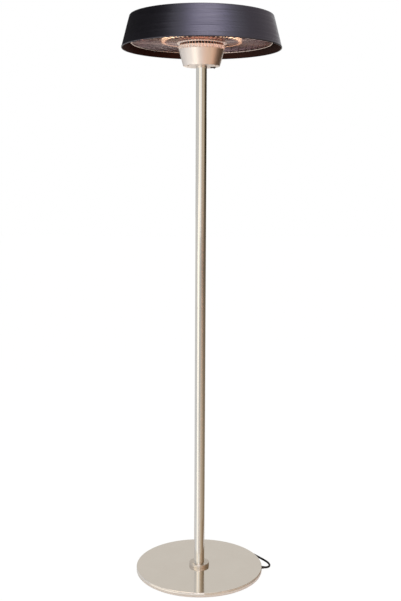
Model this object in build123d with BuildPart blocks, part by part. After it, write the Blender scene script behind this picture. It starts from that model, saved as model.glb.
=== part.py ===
"""Infrared patio heater tower: weighted base, pole, control cup, ring heater with guard, and hood.

Millimetres, +Z up. The origin is on the floor, on the pole's axis. The front is -Y, and the
cord leaves the base towards +X. Radii are measured from the pole's axis.
"""

import os
from math import asin, atan, cos, degrees, pi, radians, sin, tan

from build123d import *

os.makedirs("parts", exist_ok=True)

# ---------------------------------------------------------------- driving dimensions
# Clearances
slip_gap = 0.3  # between faces of different pieces that slide into each other
hole_gap = 0.3  # hole radius over the screw's radius
pivot_gap = 0.06  # running fit of the rocker's pins

# Tapered round shells are many-sided: this many sides for a shell and for a small inside.
large_sides = 96
small_sides = 48

# Base
base_radius = 245.0
base_height = 20.0  # floor to the top of the cover
cover_sheet = 1.2
cover_edge = 1.6  # bevel of the cover's top edge
cover_floor_gap = 3.0
foot_height = 5.0
foot_radius = 12.0
foot_circle = 212.0
foot_count = 5
ballast_gap = 3.2  # ballast to the inside of the skirt
ballast_sides = 16
bolt_pocket_radius = 37.0  # pocket in the ballast's underside for the bolt heads
bolt_pocket_depth = 5.0
cable_height = 9.2  # floor to the cable's axis in the base
cable_groove_gap = 1.0  # the groove is wider than the cable by this each side
cable_bend = 9.0  # bend of the cable under the pole
cable_hole_radius = 6.5
strap_size = (12.0, 30.0, 1.5)
strap_places = (90.0, 170.0)

# Pole, with a flange welded to its foot
pole_radius = 20.0
pole_wall = 1.5
pole_section = 1020.0
pole_sections = 2
coupler_length = 90.0
coupler_wall = 2.5
flange_radius = 39.0
flange_thickness = 12.0
flange_chamfer = 1.5
base_bolt_radius = 2.5
base_bolt_circle = 29.0
base_bolt_grip = 17.0
base_bolt_head = 4.0  # half the width across the head's flats
base_bolt_head_height = 3.5

# Head: heights are measured up from the hood's rim
rim_drop = 73.0  # pole's top to the rim
hood_rim_radius = 291.0
hood_top_radius = 261.0
hood_height = 113.0
hood_sheet = 1.2
hood_edge = 3.0  # bevel between the wall and the top
hood_post_circle = 170.0
hood_post_half = 4.5  # half the width across a hood post's flats
screw_radius = 2.0
screw_head_half = 3.5  # half the width across a screw head's flats
screw_head_height = 2.4
screw_depth = 6.0  # how far a screw reaches into its post

head_plane = 23.0  # rim to the face where reflector and vent ring meet
reflector_radius = 250.0
reflector_sheet = 1.0
reflector_depth = 26.0
reflector_slope = 16.0  # how far the outer wall leans in
reflector_hub_radius = 92.0  # the inner wall, which stands upright
head_opening = 50.0  # radius of the way up through the inner flange

heater_radius = 140.0  # centre line of the ring-shaped tube
heater_tube = 6.0
heater_drop = 19.0  # reflector's ceiling to the tube's centre line
heater_gap_angle = 5.6  # half the gap between the tube's two ends, in degrees
heater_block = (18.0, 16.0)  # ceramic end: radial and tangential width
heater_block_wall = 2.0  # ceramic under the tube
heater_block_angle = 6.6
heater_clip_angles = (15.0, 165.0, 235.0, 305.0)
heater_clip_width = 8.0
heater_clip_sheet = 1.0
lead_radius = 1.5
lead_rise = 12.0  # reflector's top to the leads

guard_radius = 255.0  # centre line of the outer ring
guard_inner_radius = 89.0
guard_ring_bar = 4.0  # width and height of both rings' square bar
guard_wire = 2.6  # width and height of a radial wire, at mid-height of the rings
guard_wires = 48
guard_rise = 18.0  # rim to the underside of the rings
guard_clips = 4
guard_clip_width = 7.0
guard_clip_sheet = 1.2

vent_ribs = 44
vent_rib_width = 5.0
vent_slot_width = 5.0
vent_flange_radius = 86.0
vent_flange_height = 5.5
vent_wall_radius = 77.0  # axis to the flats inside the slotted wall
vent_wall = 2.0
vent_band_top = 9.5  # rim to the top of the closed band under the slots
vent_bottom = -3.4  # rim to the top edge of the cup

cup_top_radius = 83.0
cup_bottom_radius = 67.0
cup_height = 58.6
cup_wall = 1.5
cup_edge = 2.0  # bevel of the cup's lower edge
cup_spigot = 8.0  # how far the vent ring reaches into the cup
pillar_circle = 56.0
pillar_half = 3.5
chassis_rise = 33.0  # cup's bottom to the chassis plate
chassis_sheet = 1.2
chassis_radius = 66.0
cable_exit_rise = 8.0  # chassis plate to the cable's way out of the pole
cable_exit_bend = 13.0

# Rocker switch in the cup's underside
switch_place = (42.0, 22.0)
switch_bezel = (20.0, 14.6, 2.0)
switch_bezel_corner = 1.5
switch_body_size = (18.2, 12.2, 18.0)
switch_cut_gap = 0.3
switch_cavity = (15.6, 10.2, 11.0)
switch_tab = (0.8, 6.3, 8.0)
switch_tab_spacing = 10.0
rocker_half_length = 6.9
rocker_half_width = 4.8
rocker_tilt = 9.0  # each way from the middle, in degrees
rocker_tip = 5.4  # pivot to the lips, outwards
rocker_waist = 3.4  # pivot to the hollow between the lips
rocker_back = 2.6  # pivot to the hidden side
pivot_radius = 1.2
pivot_depth = 0.6  # pivot above the cup's underside

# Parts in the cup and above the reflector
terminal_size = (38.0, 16.0, 14.0)
terminal_place = 43.0
terminal_pocket = 7.0
tip_switch_size = (20.0, 14.0, 20.0)
tip_switch_place = -42.0
tip_switch_edge = 2.0
cutout_radius = 8.0
cutout_height = 8.0
cutout_tab = (32.0, 8.0, 1.0)
carrier_rise = 24.0  # reflector's top to the carrier
carrier_sheet = 3.0
carrier_bar_width = 26.0
carrier_bar_length = 364.0
hub_wall = 5.0
hub_depth = 22.0
grub_radius = 2.5
spacer_circle = 150.0
spacer_half = 4.0

# Cord: 8 mm rubber-sheathed lead, lying on the floor behind the base
cord_radius = 4.0
cord_sides = 6
cord_rest = 4.05  # height of its centre line when it lies on the floor
relief_inside = 11.0
relief_nose = 11.0
relief_sides = 8
relief_root_radius = 6.0
relief_tip_radius = 4.9

# Hank: upright loops side by side, drawn in at the waist
hank_loops = 2
hank_step = 8.8  # from one loop to the next
hank_near = 312.0  # centre of the near folds, measured along Y
hank_run = 158.0  # from the centres of the near folds to those of the far ones
hank_fold = 27.0  # radius of a fold, and how many corners it is bent at
fold_corners = 4
hank_middle = 31.3  # height of the loops' middle
hank_waist_half = 14.0
hank_waist_rise = 4.6
hank_lead_in = 16.0  # length on the floor before the first loop rises
hank_tail = 22.0  # from the far folds to the plug
hank_tail_end = 12.0  # the last stretch, which rises to the plug
tie_width = 12.0
tie_sheet = 1.2

# Plug
plug_length = 34.0
plug_width = 25.0
plug_height = 23.0
plug_corner = 5.0
plug_taper = 8.0  # degrees
plug_relief_length = 22.0
plug_tilt = 6.3  # the plug rests on the edge of its face, tail down, in degrees
plug_socket = 4.0  # how deep the pins sit in the plug
blade_size = (1.5, 6.3, 17.0)
blade_spacing = 12.7
earth_pin_radius = 2.4
earth_pin_length = 20.0
pin_offset = 6.0  # blades above, earth pin below the plug's axis

# ---------------------------------------------------------------- derived places
cover_underside = base_height - cover_sheet
skirt_inside = base_radius - cover_sheet
ballast_radius = skirt_inside - ballast_gap
pole_bore = pole_radius - pole_wall
pole_top = base_height + pole_sections * pole_section
hood_rim_height = pole_top - rim_drop
hood_top_height = hood_rim_height + hood_height
hood_ceiling = hood_top_height - hood_sheet
head_height = hood_rim_height + head_plane
flange_top = head_height + reflector_sheet
ceiling_height = head_height + reflector_depth
reflector_top = ceiling_height + reflector_sheet
heater_height = ceiling_height - heater_drop
guard_height = hood_rim_height + guard_rise
cup_top_height = hood_rim_height + vent_bottom
cup_bottom_height = cup_top_height - cup_height
cup_floor = cup_bottom_height + cup_wall
cup_slope = (cup_top_radius - cup_bottom_radius) / cup_height
chassis_height = cup_bottom_height + chassis_rise
chassis_top = chassis_height + chassis_sheet
cable_exit_height = chassis_top + cable_exit_rise
carrier_height = reflector_top + carrier_rise
carrier_top = carrier_height + carrier_sheet
relief_tip = base_radius + relief_nose
bolt_angle = 30.0
post_angle = 90.0  # hood posts; the spacers stand on the other half of the same bars
spacer_angle = post_angle + 180.0


def polar(radius, angle, height=0.0):
    """The point at this radius and angle in degrees, at this height."""
    return (radius * cos(radians(angle)), radius * sin(radians(angle)), height)


def finish(piece, label):
    """Labels the finished piece and writes its STEP file."""
    piece.part.label = label
    export_step(piece.part, f"parts/{label}.step")


def prisms(circle, start_angle, foot, height, half, mode=Mode.ADD):
    """Three hexagon prisms on a circle: posts, or screw heads when they are short."""
    with BuildSketch(Plane.XY.offset(foot)) as outline:
        with PolarLocations(circle, 3, start_angle=start_angle):
            RegularPolygon(half, 6, major_radius=False)
    extrude(outline.sketch, amount=height, mode=mode)


def shanks(circle, start_angle, foot, height, radius, mode=Mode.ADD):
    """Three screw shanks on a circle, or the holes for them, as eight-sided prisms."""
    with BuildSketch(Plane.XY.offset(foot)) as outline:
        with PolarLocations(circle, 3, start_angle=start_angle):
            RegularPolygon(radius, 8)
    extrude(outline.sketch, amount=height, mode=mode)


def flats(radius, sides, foot):
    """The outline, at this height, of a many-sided block whose flats stand this far out."""
    with BuildSketch(Plane.XY.offset(foot)) as outline:
        RegularPolygon(radius, sides, major_radius=False)
    return outline.sketch


def drafted(outline, height, growth):
    """A block over this outline whose sides stand further out by growth at its far end."""
    foot = Plane(outline.faces()[0])
    with BuildPart() as block:
        extrude(outline, amount=height)
        sides = faces().filter_by(foot, reverse=True)
        draft(sides, foot, -degrees(atan(growth / height)))
    return block.part


# ---------------------------------------------------------------- base
# The cover is one spun sheet: flat top, bevelled edge and a skirt that hides the ballast.
with BuildPart() as base_cover:
    with BuildSketch(Plane.XY.offset(base_height)):
        Circle(base_radius)
    extrude(amount=cover_floor_gap - base_height)
    chamfer(edges().group_by(Axis.Z)[-1], length=cover_edge)
    with BuildSketch(Plane.XY.offset(cover_underside)):
        RegularPolygon(skirt_inside, large_sides)
    extrude(amount=cover_floor_gap - cover_underside, mode=Mode.SUBTRACT)
    shanks(base_bolt_circle, bolt_angle, base_height, -cover_sheet,
           base_bolt_radius + hole_gap, Mode.SUBTRACT)
    with BuildSketch(Plane.XY.offset(base_height)):
        RegularPolygon(cable_hole_radius, 12)
    extrude(amount=-cover_sheet, mode=Mode.SUBTRACT)
    with BuildSketch(Plane.YZ.offset(base_radius)):
        with Locations((0, cable_height)):
            RegularPolygon(relief_root_radius - 2 * slip_gap, relief_sides)
    extrude(amount=-2 * cover_sheet, mode=Mode.SUBTRACT)
finish(base_cover, "base_cover")

# The ballast is a thick plate with a cable groove and a pocket for the bolt heads underneath.
with BuildPart() as base_weight:
    with BuildSketch(Plane.XY.offset(foot_height)):
        RegularPolygon(ballast_radius, ballast_sides, rotation=180 / ballast_sides)
    extrude(amount=cover_underside - foot_height)
    with BuildSketch(Plane.XY.offset(foot_height)):
        RegularPolygon(bolt_pocket_radius, 12)
    extrude(amount=bolt_pocket_depth, mode=Mode.SUBTRACT)
    shanks(base_bolt_circle, bolt_angle, cover_underside, foot_height - cover_underside,
           base_bolt_radius + hole_gap, Mode.SUBTRACT)
    with BuildSketch(Plane.XY.offset(cover_underside)):
        RegularPolygon(cable_hole_radius, 12)
    extrude(amount=foot_height - cover_underside, mode=Mode.SUBTRACT)
    groove_half = cord_radius + cable_groove_gap
    with BuildSketch(Plane.XY.offset(foot_height)):
        with Locations((ballast_radius / 2, 0)):
            Rectangle(ballast_radius, 2 * groove_half)
    extrude(amount=cable_height + groove_half - foot_height, mode=Mode.SUBTRACT)
    with BuildSketch(Plane.XY.offset(foot_height)):
        with Locations((skirt_inside, 0)):
            Rectangle(2 * (relief_inside + slip_gap), 2 * (relief_root_radius + slip_gap))
    extrude(amount=cable_height + relief_root_radius + slip_gap - foot_height, mode=Mode.SUBTRACT)
finish(base_weight, "base_weight")

with BuildPart() as rubber_feet:
    with BuildSketch():
        with PolarLocations(foot_circle, foot_count, start_angle=90):
            RegularPolygon(foot_radius, 12)
    extrude(amount=foot_height)
finish(rubber_feet, "rubber_feet")

# Bolts come up through ballast and cover into the flange at the pole's foot.
bolt_seat = foot_height + bolt_pocket_depth
with BuildPart() as base_bolts:
    prisms(base_bolt_circle, bolt_angle, bolt_seat, -base_bolt_head_height, base_bolt_head)
    shanks(base_bolt_circle, bolt_angle, bolt_seat, base_bolt_grip, base_bolt_radius)
finish(base_bolts, "base_bolts")

# Straps across the groove keep the cable in it.
with BuildPart() as cable_straps:
    for place in strap_places:
        with Locations((place, 0, foot_height)):
            Box(*strap_size, align=(Align.CENTER, Align.CENTER, Align.MAX))
finish(cable_straps, "cable_straps")

# ---------------------------------------------------------------- pole
# The lower tube stands in a thick flange, and the two tubes butt together over a coupler. The
# upper one has a window in its back for the cable, inside the cup.
with BuildPart() as pole_lower:
    with BuildSketch(Plane.XY.offset(base_height)):
        Circle(flange_radius)
        Circle(pole_bore, mode=Mode.SUBTRACT)
    extrude(amount=flange_thickness)
    flange_rim = edges().filter_by(GeomType.CIRCLE).group_by(Axis.Z)[-1].sort_by(SortBy.RADIUS)[-1]
    chamfer(flange_rim, length=flange_chamfer)
    with BuildSketch(Plane.XY.offset(base_height)):
        Circle(pole_radius)
        Circle(pole_bore, mode=Mode.SUBTRACT)
    extrude(amount=pole_section)
    shanks(base_bolt_circle, bolt_angle, base_height, flange_thickness * 2 / 3,
           base_bolt_radius, Mode.SUBTRACT)
finish(pole_lower, "pole_lower")

with BuildPart() as pole_upper:
    with BuildSketch(Plane.XY.offset(base_height + pole_section)):
        Circle(pole_radius)
        Circle(pole_bore, mode=Mode.SUBTRACT)
    extrude(amount=pole_section)
    with BuildSketch(Plane.XZ):
        with Locations((0, cable_exit_height)):
            RegularPolygon(cable_hole_radius, 8)
    extrude(amount=-2 * pole_radius, mode=Mode.SUBTRACT)
finish(pole_upper, "pole_upper")

with BuildPart() as pole_coupler:
    with BuildSketch(Plane.XY.offset(base_height + pole_section)):
        RegularPolygon(pole_bore - slip_gap / 2, 16)
        RegularPolygon(pole_bore - slip_gap - coupler_wall, 16, mode=Mode.SUBTRACT)
    extrude(amount=coupler_length / 2, both=True)
finish(pole_coupler, "pole_coupler")

# ---------------------------------------------------------------- cable inside the object
# From the terminal block through the pole's window, down the pole, round under its foot and
# along the groove to the strain relief's tip, where the free cord starts.
with BuildPart() as mains_cable_inner:
    with BuildLine() as cable_route:
        FilletPolyline(
            (0, terminal_place - terminal_size[1] / 2, cable_exit_height),
            (0, 0, cable_exit_height),
            (0, 0, cable_height),
            (relief_tip, 0, cable_height),
            radius=[cable_exit_bend, cable_bend],
        )
    with BuildSketch(Plane(origin=cable_route.line @ 0, z_dir=cable_route.line % 0)):
        RegularPolygon(cord_radius, cord_sides)
    sweep()
finish(mains_cable_inner, "mains_cable_inner")

# The strain relief is a rubber moulding: a flange inside the skirt, a neck through it and a
# tapered nose outside, bored for the cable.
relief_neck_radius = relief_root_radius - 3 * slip_gap
with BuildSketch(Plane.YZ.offset(base_radius + slip_gap)) as nose_outline:
    with Locations((0, cable_height)):
        RegularPolygon(relief_root_radius, relief_sides)
nose = drafted(
    nose_outline.sketch, relief_nose - slip_gap, relief_tip_radius - relief_root_radius
)
with BuildPart() as strain_relief:
    with BuildSketch(Plane.YZ.offset(skirt_inside - relief_inside)):
        with Locations((0, cable_height)):
            RegularPolygon(relief_root_radius, relief_sides)
    extrude(amount=relief_inside - slip_gap)
    with BuildSketch(Plane.YZ.offset(skirt_inside - slip_gap)):
        with Locations((0, cable_height)):
            RegularPolygon(relief_neck_radius, relief_sides)
    extrude(amount=cover_sheet + 2 * slip_gap)
    add(nose)
    with BuildSketch(Plane.YZ.offset(relief_tip)):
        with Locations((0, cable_height)):
            RegularPolygon(cord_radius + hole_gap / 2, cord_sides)
    extrude(amount=-relief_nose - cover_sheet - relief_inside, mode=Mode.SUBTRACT)
finish(strain_relief, "strain_relief")

# ---------------------------------------------------------------- control cup
# The cup is a deep drawn shell with a bevelled lower edge; its underside takes the switch.
switch_x, switch_y = switch_place
cup_foot = drafted(
    flats(cup_bottom_radius - cup_edge, large_sides, cup_bottom_height),
    cup_edge,
    cup_edge * (1 + cup_slope),
)
cup_side = drafted(
    flats(cup_bottom_radius + cup_edge * cup_slope, large_sides, cup_bottom_height + cup_edge),
    cup_height - cup_edge,
    (cup_height - cup_edge) * cup_slope,
)
cup_inside = drafted(
    flats(cup_bottom_radius - cup_wall, small_sides, cup_floor),
    cup_height - cup_wall,
    cup_top_radius - cup_bottom_radius,
)
with BuildPart() as control_housing:
    add(cup_foot)
    add(cup_side)
    add(cup_inside, mode=Mode.SUBTRACT)
    with BuildSketch(Plane.XY.offset(cup_floor)):
        Circle(pole_radius + slip_gap)
        with Locations(switch_place):
            Rectangle(
                switch_body_size[0] + 2 * switch_cut_gap, switch_body_size[1] + 2 * switch_cut_gap
            )
    extrude(amount=-cup_wall, mode=Mode.SUBTRACT)
    shanks(pillar_circle, post_angle, cup_floor, -cup_wall, screw_radius + hole_gap, Mode.SUBTRACT)
finish(control_housing, "control_housing")

# Rocker switch: a bezel outside, a body inside with a cavity, and side bores for the pins.
bezel_bottom = cup_bottom_height - switch_bezel[2]
switch_top = cup_bottom_height + switch_body_size[2]
pivot_height = cup_bottom_height + pivot_depth
with BuildPart() as switch_body:
    with BuildSketch(Plane.XY.offset(bezel_bottom)):
        with Locations(switch_place):
            Rectangle(switch_bezel[0], switch_bezel[1])
        chamfer(vertices(), length=switch_bezel_corner)
    extrude(amount=switch_bezel[2])
    with BuildSketch(Plane.XY.offset(cup_bottom_height)):
        with Locations(switch_place):
            Rectangle(switch_body_size[0], switch_body_size[1])
    extrude(amount=switch_body_size[2])
    with BuildSketch(Plane.XY.offset(bezel_bottom)):
        with Locations(switch_place):
            Rectangle(switch_cavity[0], switch_cavity[1])
    extrude(amount=switch_cavity[2], mode=Mode.SUBTRACT)
    with BuildSketch(Plane.XZ.offset(-switch_y)):
        with Locations((switch_x, pivot_height)):
            Circle(pivot_radius + pivot_gap)
    extrude(amount=switch_body_size[1], both=True, mode=Mode.SUBTRACT)
    with Locations((switch_x, switch_y, switch_top)):
        with GridLocations(switch_tab_spacing, 0, 2, 1):
            Box(*switch_tab, align=(Align.CENTER, Align.CENTER, Align.MIN))
finish(switch_body, "switch_body")

# The rocker rests with its +X lip out. Its section is drawn on a plane tilted about the pins.
tilt = radians(rocker_tilt)
rocker_plane = Plane(
    origin=(switch_x, switch_y, pivot_height),
    x_dir=(cos(tilt), 0, -sin(tilt)),
    z_dir=(0, -1, 0),
)
with BuildPart() as switch_rocker:
    with BuildSketch(rocker_plane):
        with BuildLine():
            Polyline(
                (rocker_half_length, -rocker_tip),
                (rocker_half_length, rocker_back - 1),
                (rocker_half_length - 1, rocker_back),
                (1 - rocker_half_length, rocker_back),
                (-rocker_half_length, rocker_back - 1),
                (-rocker_half_length, -rocker_tip),
            )
            ThreePointArc(
                (-rocker_half_length, -rocker_tip), (0, -rocker_waist), (rocker_half_length, -rocker_tip)
            )
        make_face()
    extrude(amount=rocker_half_width, both=True)
    with BuildSketch(rocker_plane):
        Circle(pivot_radius)
    extrude(amount=switch_body_size[1] / 2 - slip_gap, both=True)
finish(switch_rocker, "switch_rocker")

# ---------------------------------------------------------------- vent ring
# A casting: a flange above, a wall of flats with a slot in each, ribs on the corners between the
# flats, a closed band under the slots, and a spigot that reaches into the cup.
flange_bottom = head_height - vent_flange_height
spigot_foot = cup_top_height - cup_spigot
wall_outside = vent_wall_radius + vent_wall
slot_foot = hood_rim_height + vent_band_top
with BuildPart() as vent_ring:
    with BuildSketch(Plane.XY.offset(head_height)):
        RegularPolygon(vent_flange_radius, vent_ribs)
    extrude(amount=-vent_flange_height)
    with BuildSketch(Plane.XY.offset(head_height)):
        RegularPolygon(wall_outside, vent_ribs, major_radius=False)
    extrude(amount=spigot_foot - head_height)
    with BuildSketch(Plane.XY.offset(cup_top_height)):
        with PolarLocations((vent_wall_radius + cup_top_radius) / 2, vent_ribs):
            Rectangle(cup_top_radius - vent_wall_radius, vent_rib_width)
    extrude(amount=flange_bottom - cup_top_height)
    with BuildSketch(Plane.XY.offset(head_height)):
        RegularPolygon(vent_wall_radius, vent_ribs, major_radius=False)
    extrude(amount=spigot_foot - head_height, mode=Mode.SUBTRACT)
    with BuildSketch(Plane.XY.offset(slot_foot)):
        with PolarLocations(vent_wall_radius + vent_wall / 2, vent_ribs, start_angle=180 / vent_ribs):
            Rectangle(2 * vent_wall, vent_slot_width)
    extrude(amount=flange_bottom - slot_foot, mode=Mode.SUBTRACT)
finish(vent_ring, "vent_ring")

# ---------------------------------------------------------------- inside the cup
with BuildPart() as chassis_plate:
    with BuildSketch(Plane.XY.offset(chassis_height)):
        RegularPolygon(chassis_radius, 12)
        RegularPolygon(pole_radius + 2 * slip_gap, 16, major_radius=False, mode=Mode.SUBTRACT)
    extrude(amount=chassis_sheet)
finish(chassis_plate, "chassis_plate")

# Pillars stand below and above the chassis plate, between the cup's floor and the reflector.
with BuildPart() as housing_pillars:
    prisms(pillar_circle, post_angle, cup_floor, chassis_height - cup_floor, pillar_half)
    prisms(pillar_circle, post_angle, chassis_top, head_height - chassis_top, pillar_half)
    shanks(pillar_circle, post_angle, cup_floor, screw_depth, screw_radius, Mode.SUBTRACT)
    shanks(pillar_circle, post_angle, head_height, -screw_depth, screw_radius, Mode.SUBTRACT)
finish(housing_pillars, "housing_pillars")

# One set of screws comes up through the cup's underside, the other down through the reflector.
with BuildPart() as housing_screws:
    prisms(pillar_circle, post_angle, cup_bottom_height, -screw_head_height, screw_head_half)
    shanks(pillar_circle, post_angle, cup_bottom_height, cup_wall + screw_depth, screw_radius)
    prisms(pillar_circle, post_angle, flange_top, screw_head_height, screw_head_half)
    shanks(pillar_circle, post_angle, flange_top, -reflector_sheet - screw_depth, screw_radius)
finish(housing_screws, "housing_screws")

with BuildPart() as terminal_block:
    with Locations((0, terminal_place, chassis_top)):
        Box(*terminal_size, align=(Align.CENTER, Align.CENTER, Align.MIN))
    with Locations((0, terminal_place, chassis_top + terminal_size[2])):
        with GridLocations(terminal_size[0] / 3, 0, 3, 1):
            Box(terminal_pocket, terminal_pocket, terminal_size[2], mode=Mode.SUBTRACT)
finish(terminal_block, "terminal_block")

with BuildPart() as tip_over_switch:
    with Locations((0, tip_switch_place, chassis_top)):
        Box(*tip_switch_size, align=(Align.CENTER, Align.CENTER, Align.MIN))
    chamfer(faces().sort_by(Axis.Z)[-1].edges(), length=tip_switch_edge)
finish(tip_over_switch, "tip_over_switch")

# ---------------------------------------------------------------- reflector and heater
# The reflector is a spun pan, open below, with a flange inside. Its hidden back is many-sided.
pan_depth = reflector_depth + reflector_sheet
pan_wall = reflector_sheet / cos(atan(reflector_slope / reflector_depth))
pan_back = drafted(
    flats(reflector_radius + pan_wall, large_sides, head_height),
    pan_depth,
    -reflector_slope * pan_depth / reflector_depth,
)
pan_front = drafted(
    flats(reflector_radius, large_sides, head_height), reflector_depth, -reflector_slope
)
with BuildPart() as reflector:
    add(pan_back)
    add(pan_front, mode=Mode.SUBTRACT)
    with BuildSketch(Plane.XY.offset(head_height)):
        RegularPolygon(reflector_hub_radius, small_sides)
    extrude(amount=reflector_depth)
    with BuildSketch(Plane.XY.offset(flange_top)):
        RegularPolygon(reflector_hub_radius - reflector_sheet, small_sides)
    extrude(amount=pan_depth, mode=Mode.SUBTRACT)
    with BuildSketch(Plane.XY.offset(flange_top)):
        RegularPolygon(head_opening, small_sides)
    extrude(amount=-reflector_sheet, mode=Mode.SUBTRACT)
    shanks(pillar_circle, post_angle, flange_top, -reflector_sheet,
           screw_radius + hole_gap, Mode.SUBTRACT)
    shanks(spacer_circle, spacer_angle, reflector_top, -reflector_sheet,
           screw_radius + hole_gap, Mode.SUBTRACT)
    with BuildSketch(Plane.XY.offset(reflector_top)):
        for side in (-1, 1):
            with Locations(polar(heater_radius, 90 + side * heater_block_angle)):
                RegularPolygon(2 * lead_radius, 8)
    extrude(amount=-reflector_sheet, mode=Mode.SUBTRACT)
finish(reflector, "reflector")

# One quartz tube bent into a ring, open at the back where its ends sit in ceramic blocks.
heater_start = 90 + heater_gap_angle
heater_sweep = 360 - 2 * heater_gap_angle
with BuildPart() as heating_ring:
    with BuildLine(Plane.XY.offset(heater_height)) as heater_line:
        CenterArc((0, 0), heater_radius, heater_start, heater_sweep)
    with BuildSketch(Plane(origin=heater_line.line @ 0, z_dir=heater_line.line % 0)):
        RegularPolygon(heater_tube, 6, rotation=30)
    sweep()
finish(heating_ring, "heating_ring")

block_foot = heater_height - heater_tube - heater_block_wall
with BuildPart() as heater_ceramics:
    for side in (-1, 1):
        block_angle = 90 + side * heater_block_angle
        block_plane = Plane(
            origin=polar(heater_radius, block_angle, block_foot),
            x_dir=polar(1, block_angle),
            z_dir=(0, 0, 1),
        )
        with BuildSketch(block_plane):
            Rectangle(*heater_block)
        extrude(amount=ceiling_height - block_foot)
    with BuildLine(Plane.XY.offset(heater_height)) as socket_line:
        CenterArc((0, 0), heater_radius, heater_start - 0.2, heater_sweep + 0.4)
    with BuildSketch(Plane(origin=socket_line.line @ 0, z_dir=socket_line.line % 0)):
        RegularPolygon(heater_tube + slip_gap, 6, rotation=30)
    sweep(path=socket_line.line, mode=Mode.SUBTRACT)
finish(heater_ceramics, "heater_ceramics")

# Sprung clips hang the tube from the reflector's ceiling: a hook under the tube and a folded foot.
hook = heater_tube + slip_gap
with BuildPart() as heater_clips:
    for angle in heater_clip_angles:
        clip_plane = Plane(
            origin=polar(heater_radius, angle, heater_height),
            x_dir=polar(1, angle),
            z_dir=polar(1, angle - 90),
        )
        with BuildSketch(clip_plane):
            with BuildLine():
                Polyline(
                    (hook, 0),
                    (hook, -hook / 2),
                    (hook / 2, -hook),
                    (-hook / 2, -hook),
                    (-hook, -hook / 2),
                    (-hook, heater_drop - heater_clip_sheet),
                    (hook, heater_drop - heater_clip_sheet),
                )
                offset(
                    amount=heater_clip_sheet, side=Side.LEFT, closed=True, kind=Kind.INTERSECTION
                )
            make_face()
        extrude(amount=heater_clip_width / 2, both=True)
finish(heater_clips, "heater_clips")

# Leads run from the ceramic ends over the reflector and down to the terminals.
lead_height = reflector_top + lead_rise
with BuildPart() as heater_leads:
    for side in (-1, 1):
        lead_x, lead_y, lead_z = polar(heater_radius, 90 - side * heater_block_angle, ceiling_height)
        terminal_x = side * terminal_size[0] / 3
        with BuildLine() as lead_route:
            Polyline(
                (lead_x, lead_y, lead_z),
                (lead_x, lead_y, lead_height),
                (terminal_x, terminal_place, lead_height),
                (terminal_x, terminal_place, chassis_top + terminal_size[2] / 2),
            )
        with BuildSketch(Plane(origin=lead_route.line @ 0, z_dir=lead_route.line % 0)):
            RegularPolygon(lead_radius, 6)
        sweep(path=lead_route.line, transition=Transition.RIGHT)
finish(heater_leads, "heater_leads")

with BuildPart() as thermal_cutout:
    with BuildSketch(Plane.XY.offset(reflector_top)):
        with Locations(polar(spacer_circle, 60)):
            RegularPolygon(cutout_radius, 12)
    extrude(amount=cutout_height)
    with Locations(polar(spacer_circle, 60, reflector_top)):
        Box(*cutout_tab, align=(Align.CENTER, Align.CENTER, Align.MIN))
finish(thermal_cutout, "thermal_cutout")

# ---------------------------------------------------------------- wire guard
# A welded guard: an outer and an inner ring, with straight radial wires between them.
with BuildPart() as wire_guard:
    with BuildSketch(Plane.XY.offset(guard_height)):
        for radius, sides in ((guard_radius, large_sides), (guard_inner_radius, small_sides)):
            turn = 180 / sides
            RegularPolygon(radius + guard_ring_bar / 2, sides, rotation=turn)
            RegularPolygon(radius - guard_ring_bar / 2, sides, rotation=turn, mode=Mode.SUBTRACT)
    extrude(amount=guard_ring_bar)
    with BuildSketch(Plane.XY.offset(guard_height + guard_ring_bar / 2)):
        with PolarLocations(
            (guard_radius + guard_inner_radius) / 2, guard_wires, start_angle=180 / guard_wires
        ):
            Rectangle(guard_radius - guard_inner_radius, guard_wire)
    extrude(amount=guard_wire / 2, both=True)
finish(wire_guard, "wire_guard")

# Spring clips on the reflector's outer wall hook under the outer ring.
clip_heights = (2.0, 12.0)  # from the reflector's edge up to the ends of a clip's tab
clip_wall = reflector_radius + pan_wall + slip_gap
clip_slope = reflector_slope / reflector_depth
clip_outside = guard_radius + guard_ring_bar / 2 + slip_gap
clip_foot = guard_height - slip_gap
clip_reach = guard_radius - guard_ring_bar / 4
with BuildPart() as guard_clip:
    with BuildSketch(Plane.XZ):
        with BuildLine():
            Polyline(
                (clip_wall - clip_heights[1] * clip_slope, head_height + clip_heights[1]),
                (clip_wall - clip_heights[0] * clip_slope, head_height + clip_heights[0]),
                (clip_outside, head_height + clip_heights[0]),
                (clip_outside, clip_foot),
                (clip_reach, clip_foot),
            )
            offset(amount=guard_clip_sheet, side=Side.LEFT, closed=True, kind=Kind.INTERSECTION)
        make_face()
    extrude(amount=guard_clip_width / 2, both=True)
with BuildPart() as guard_clip_set:
    with PolarLocations(0, guard_clips, start_angle=45):
        add(guard_clip.part)
finish(guard_clip_set, "guard_clips")

# ---------------------------------------------------------------- what carries the head
with BuildPart() as reflector_spacers:
    prisms(spacer_circle, spacer_angle, reflector_top, carrier_rise, spacer_half)
    shanks(spacer_circle, spacer_angle, reflector_top, screw_depth, screw_radius, Mode.SUBTRACT)
finish(reflector_spacers, "reflector_spacers")

with BuildPart() as reflector_screws:
    prisms(spacer_circle, spacer_angle, ceiling_height, -screw_head_height, screw_head_half)
    shanks(spacer_circle, spacer_angle, ceiling_height, reflector_sheet + screw_depth, screw_radius)
finish(reflector_screws, "reflector_screws")

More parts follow.
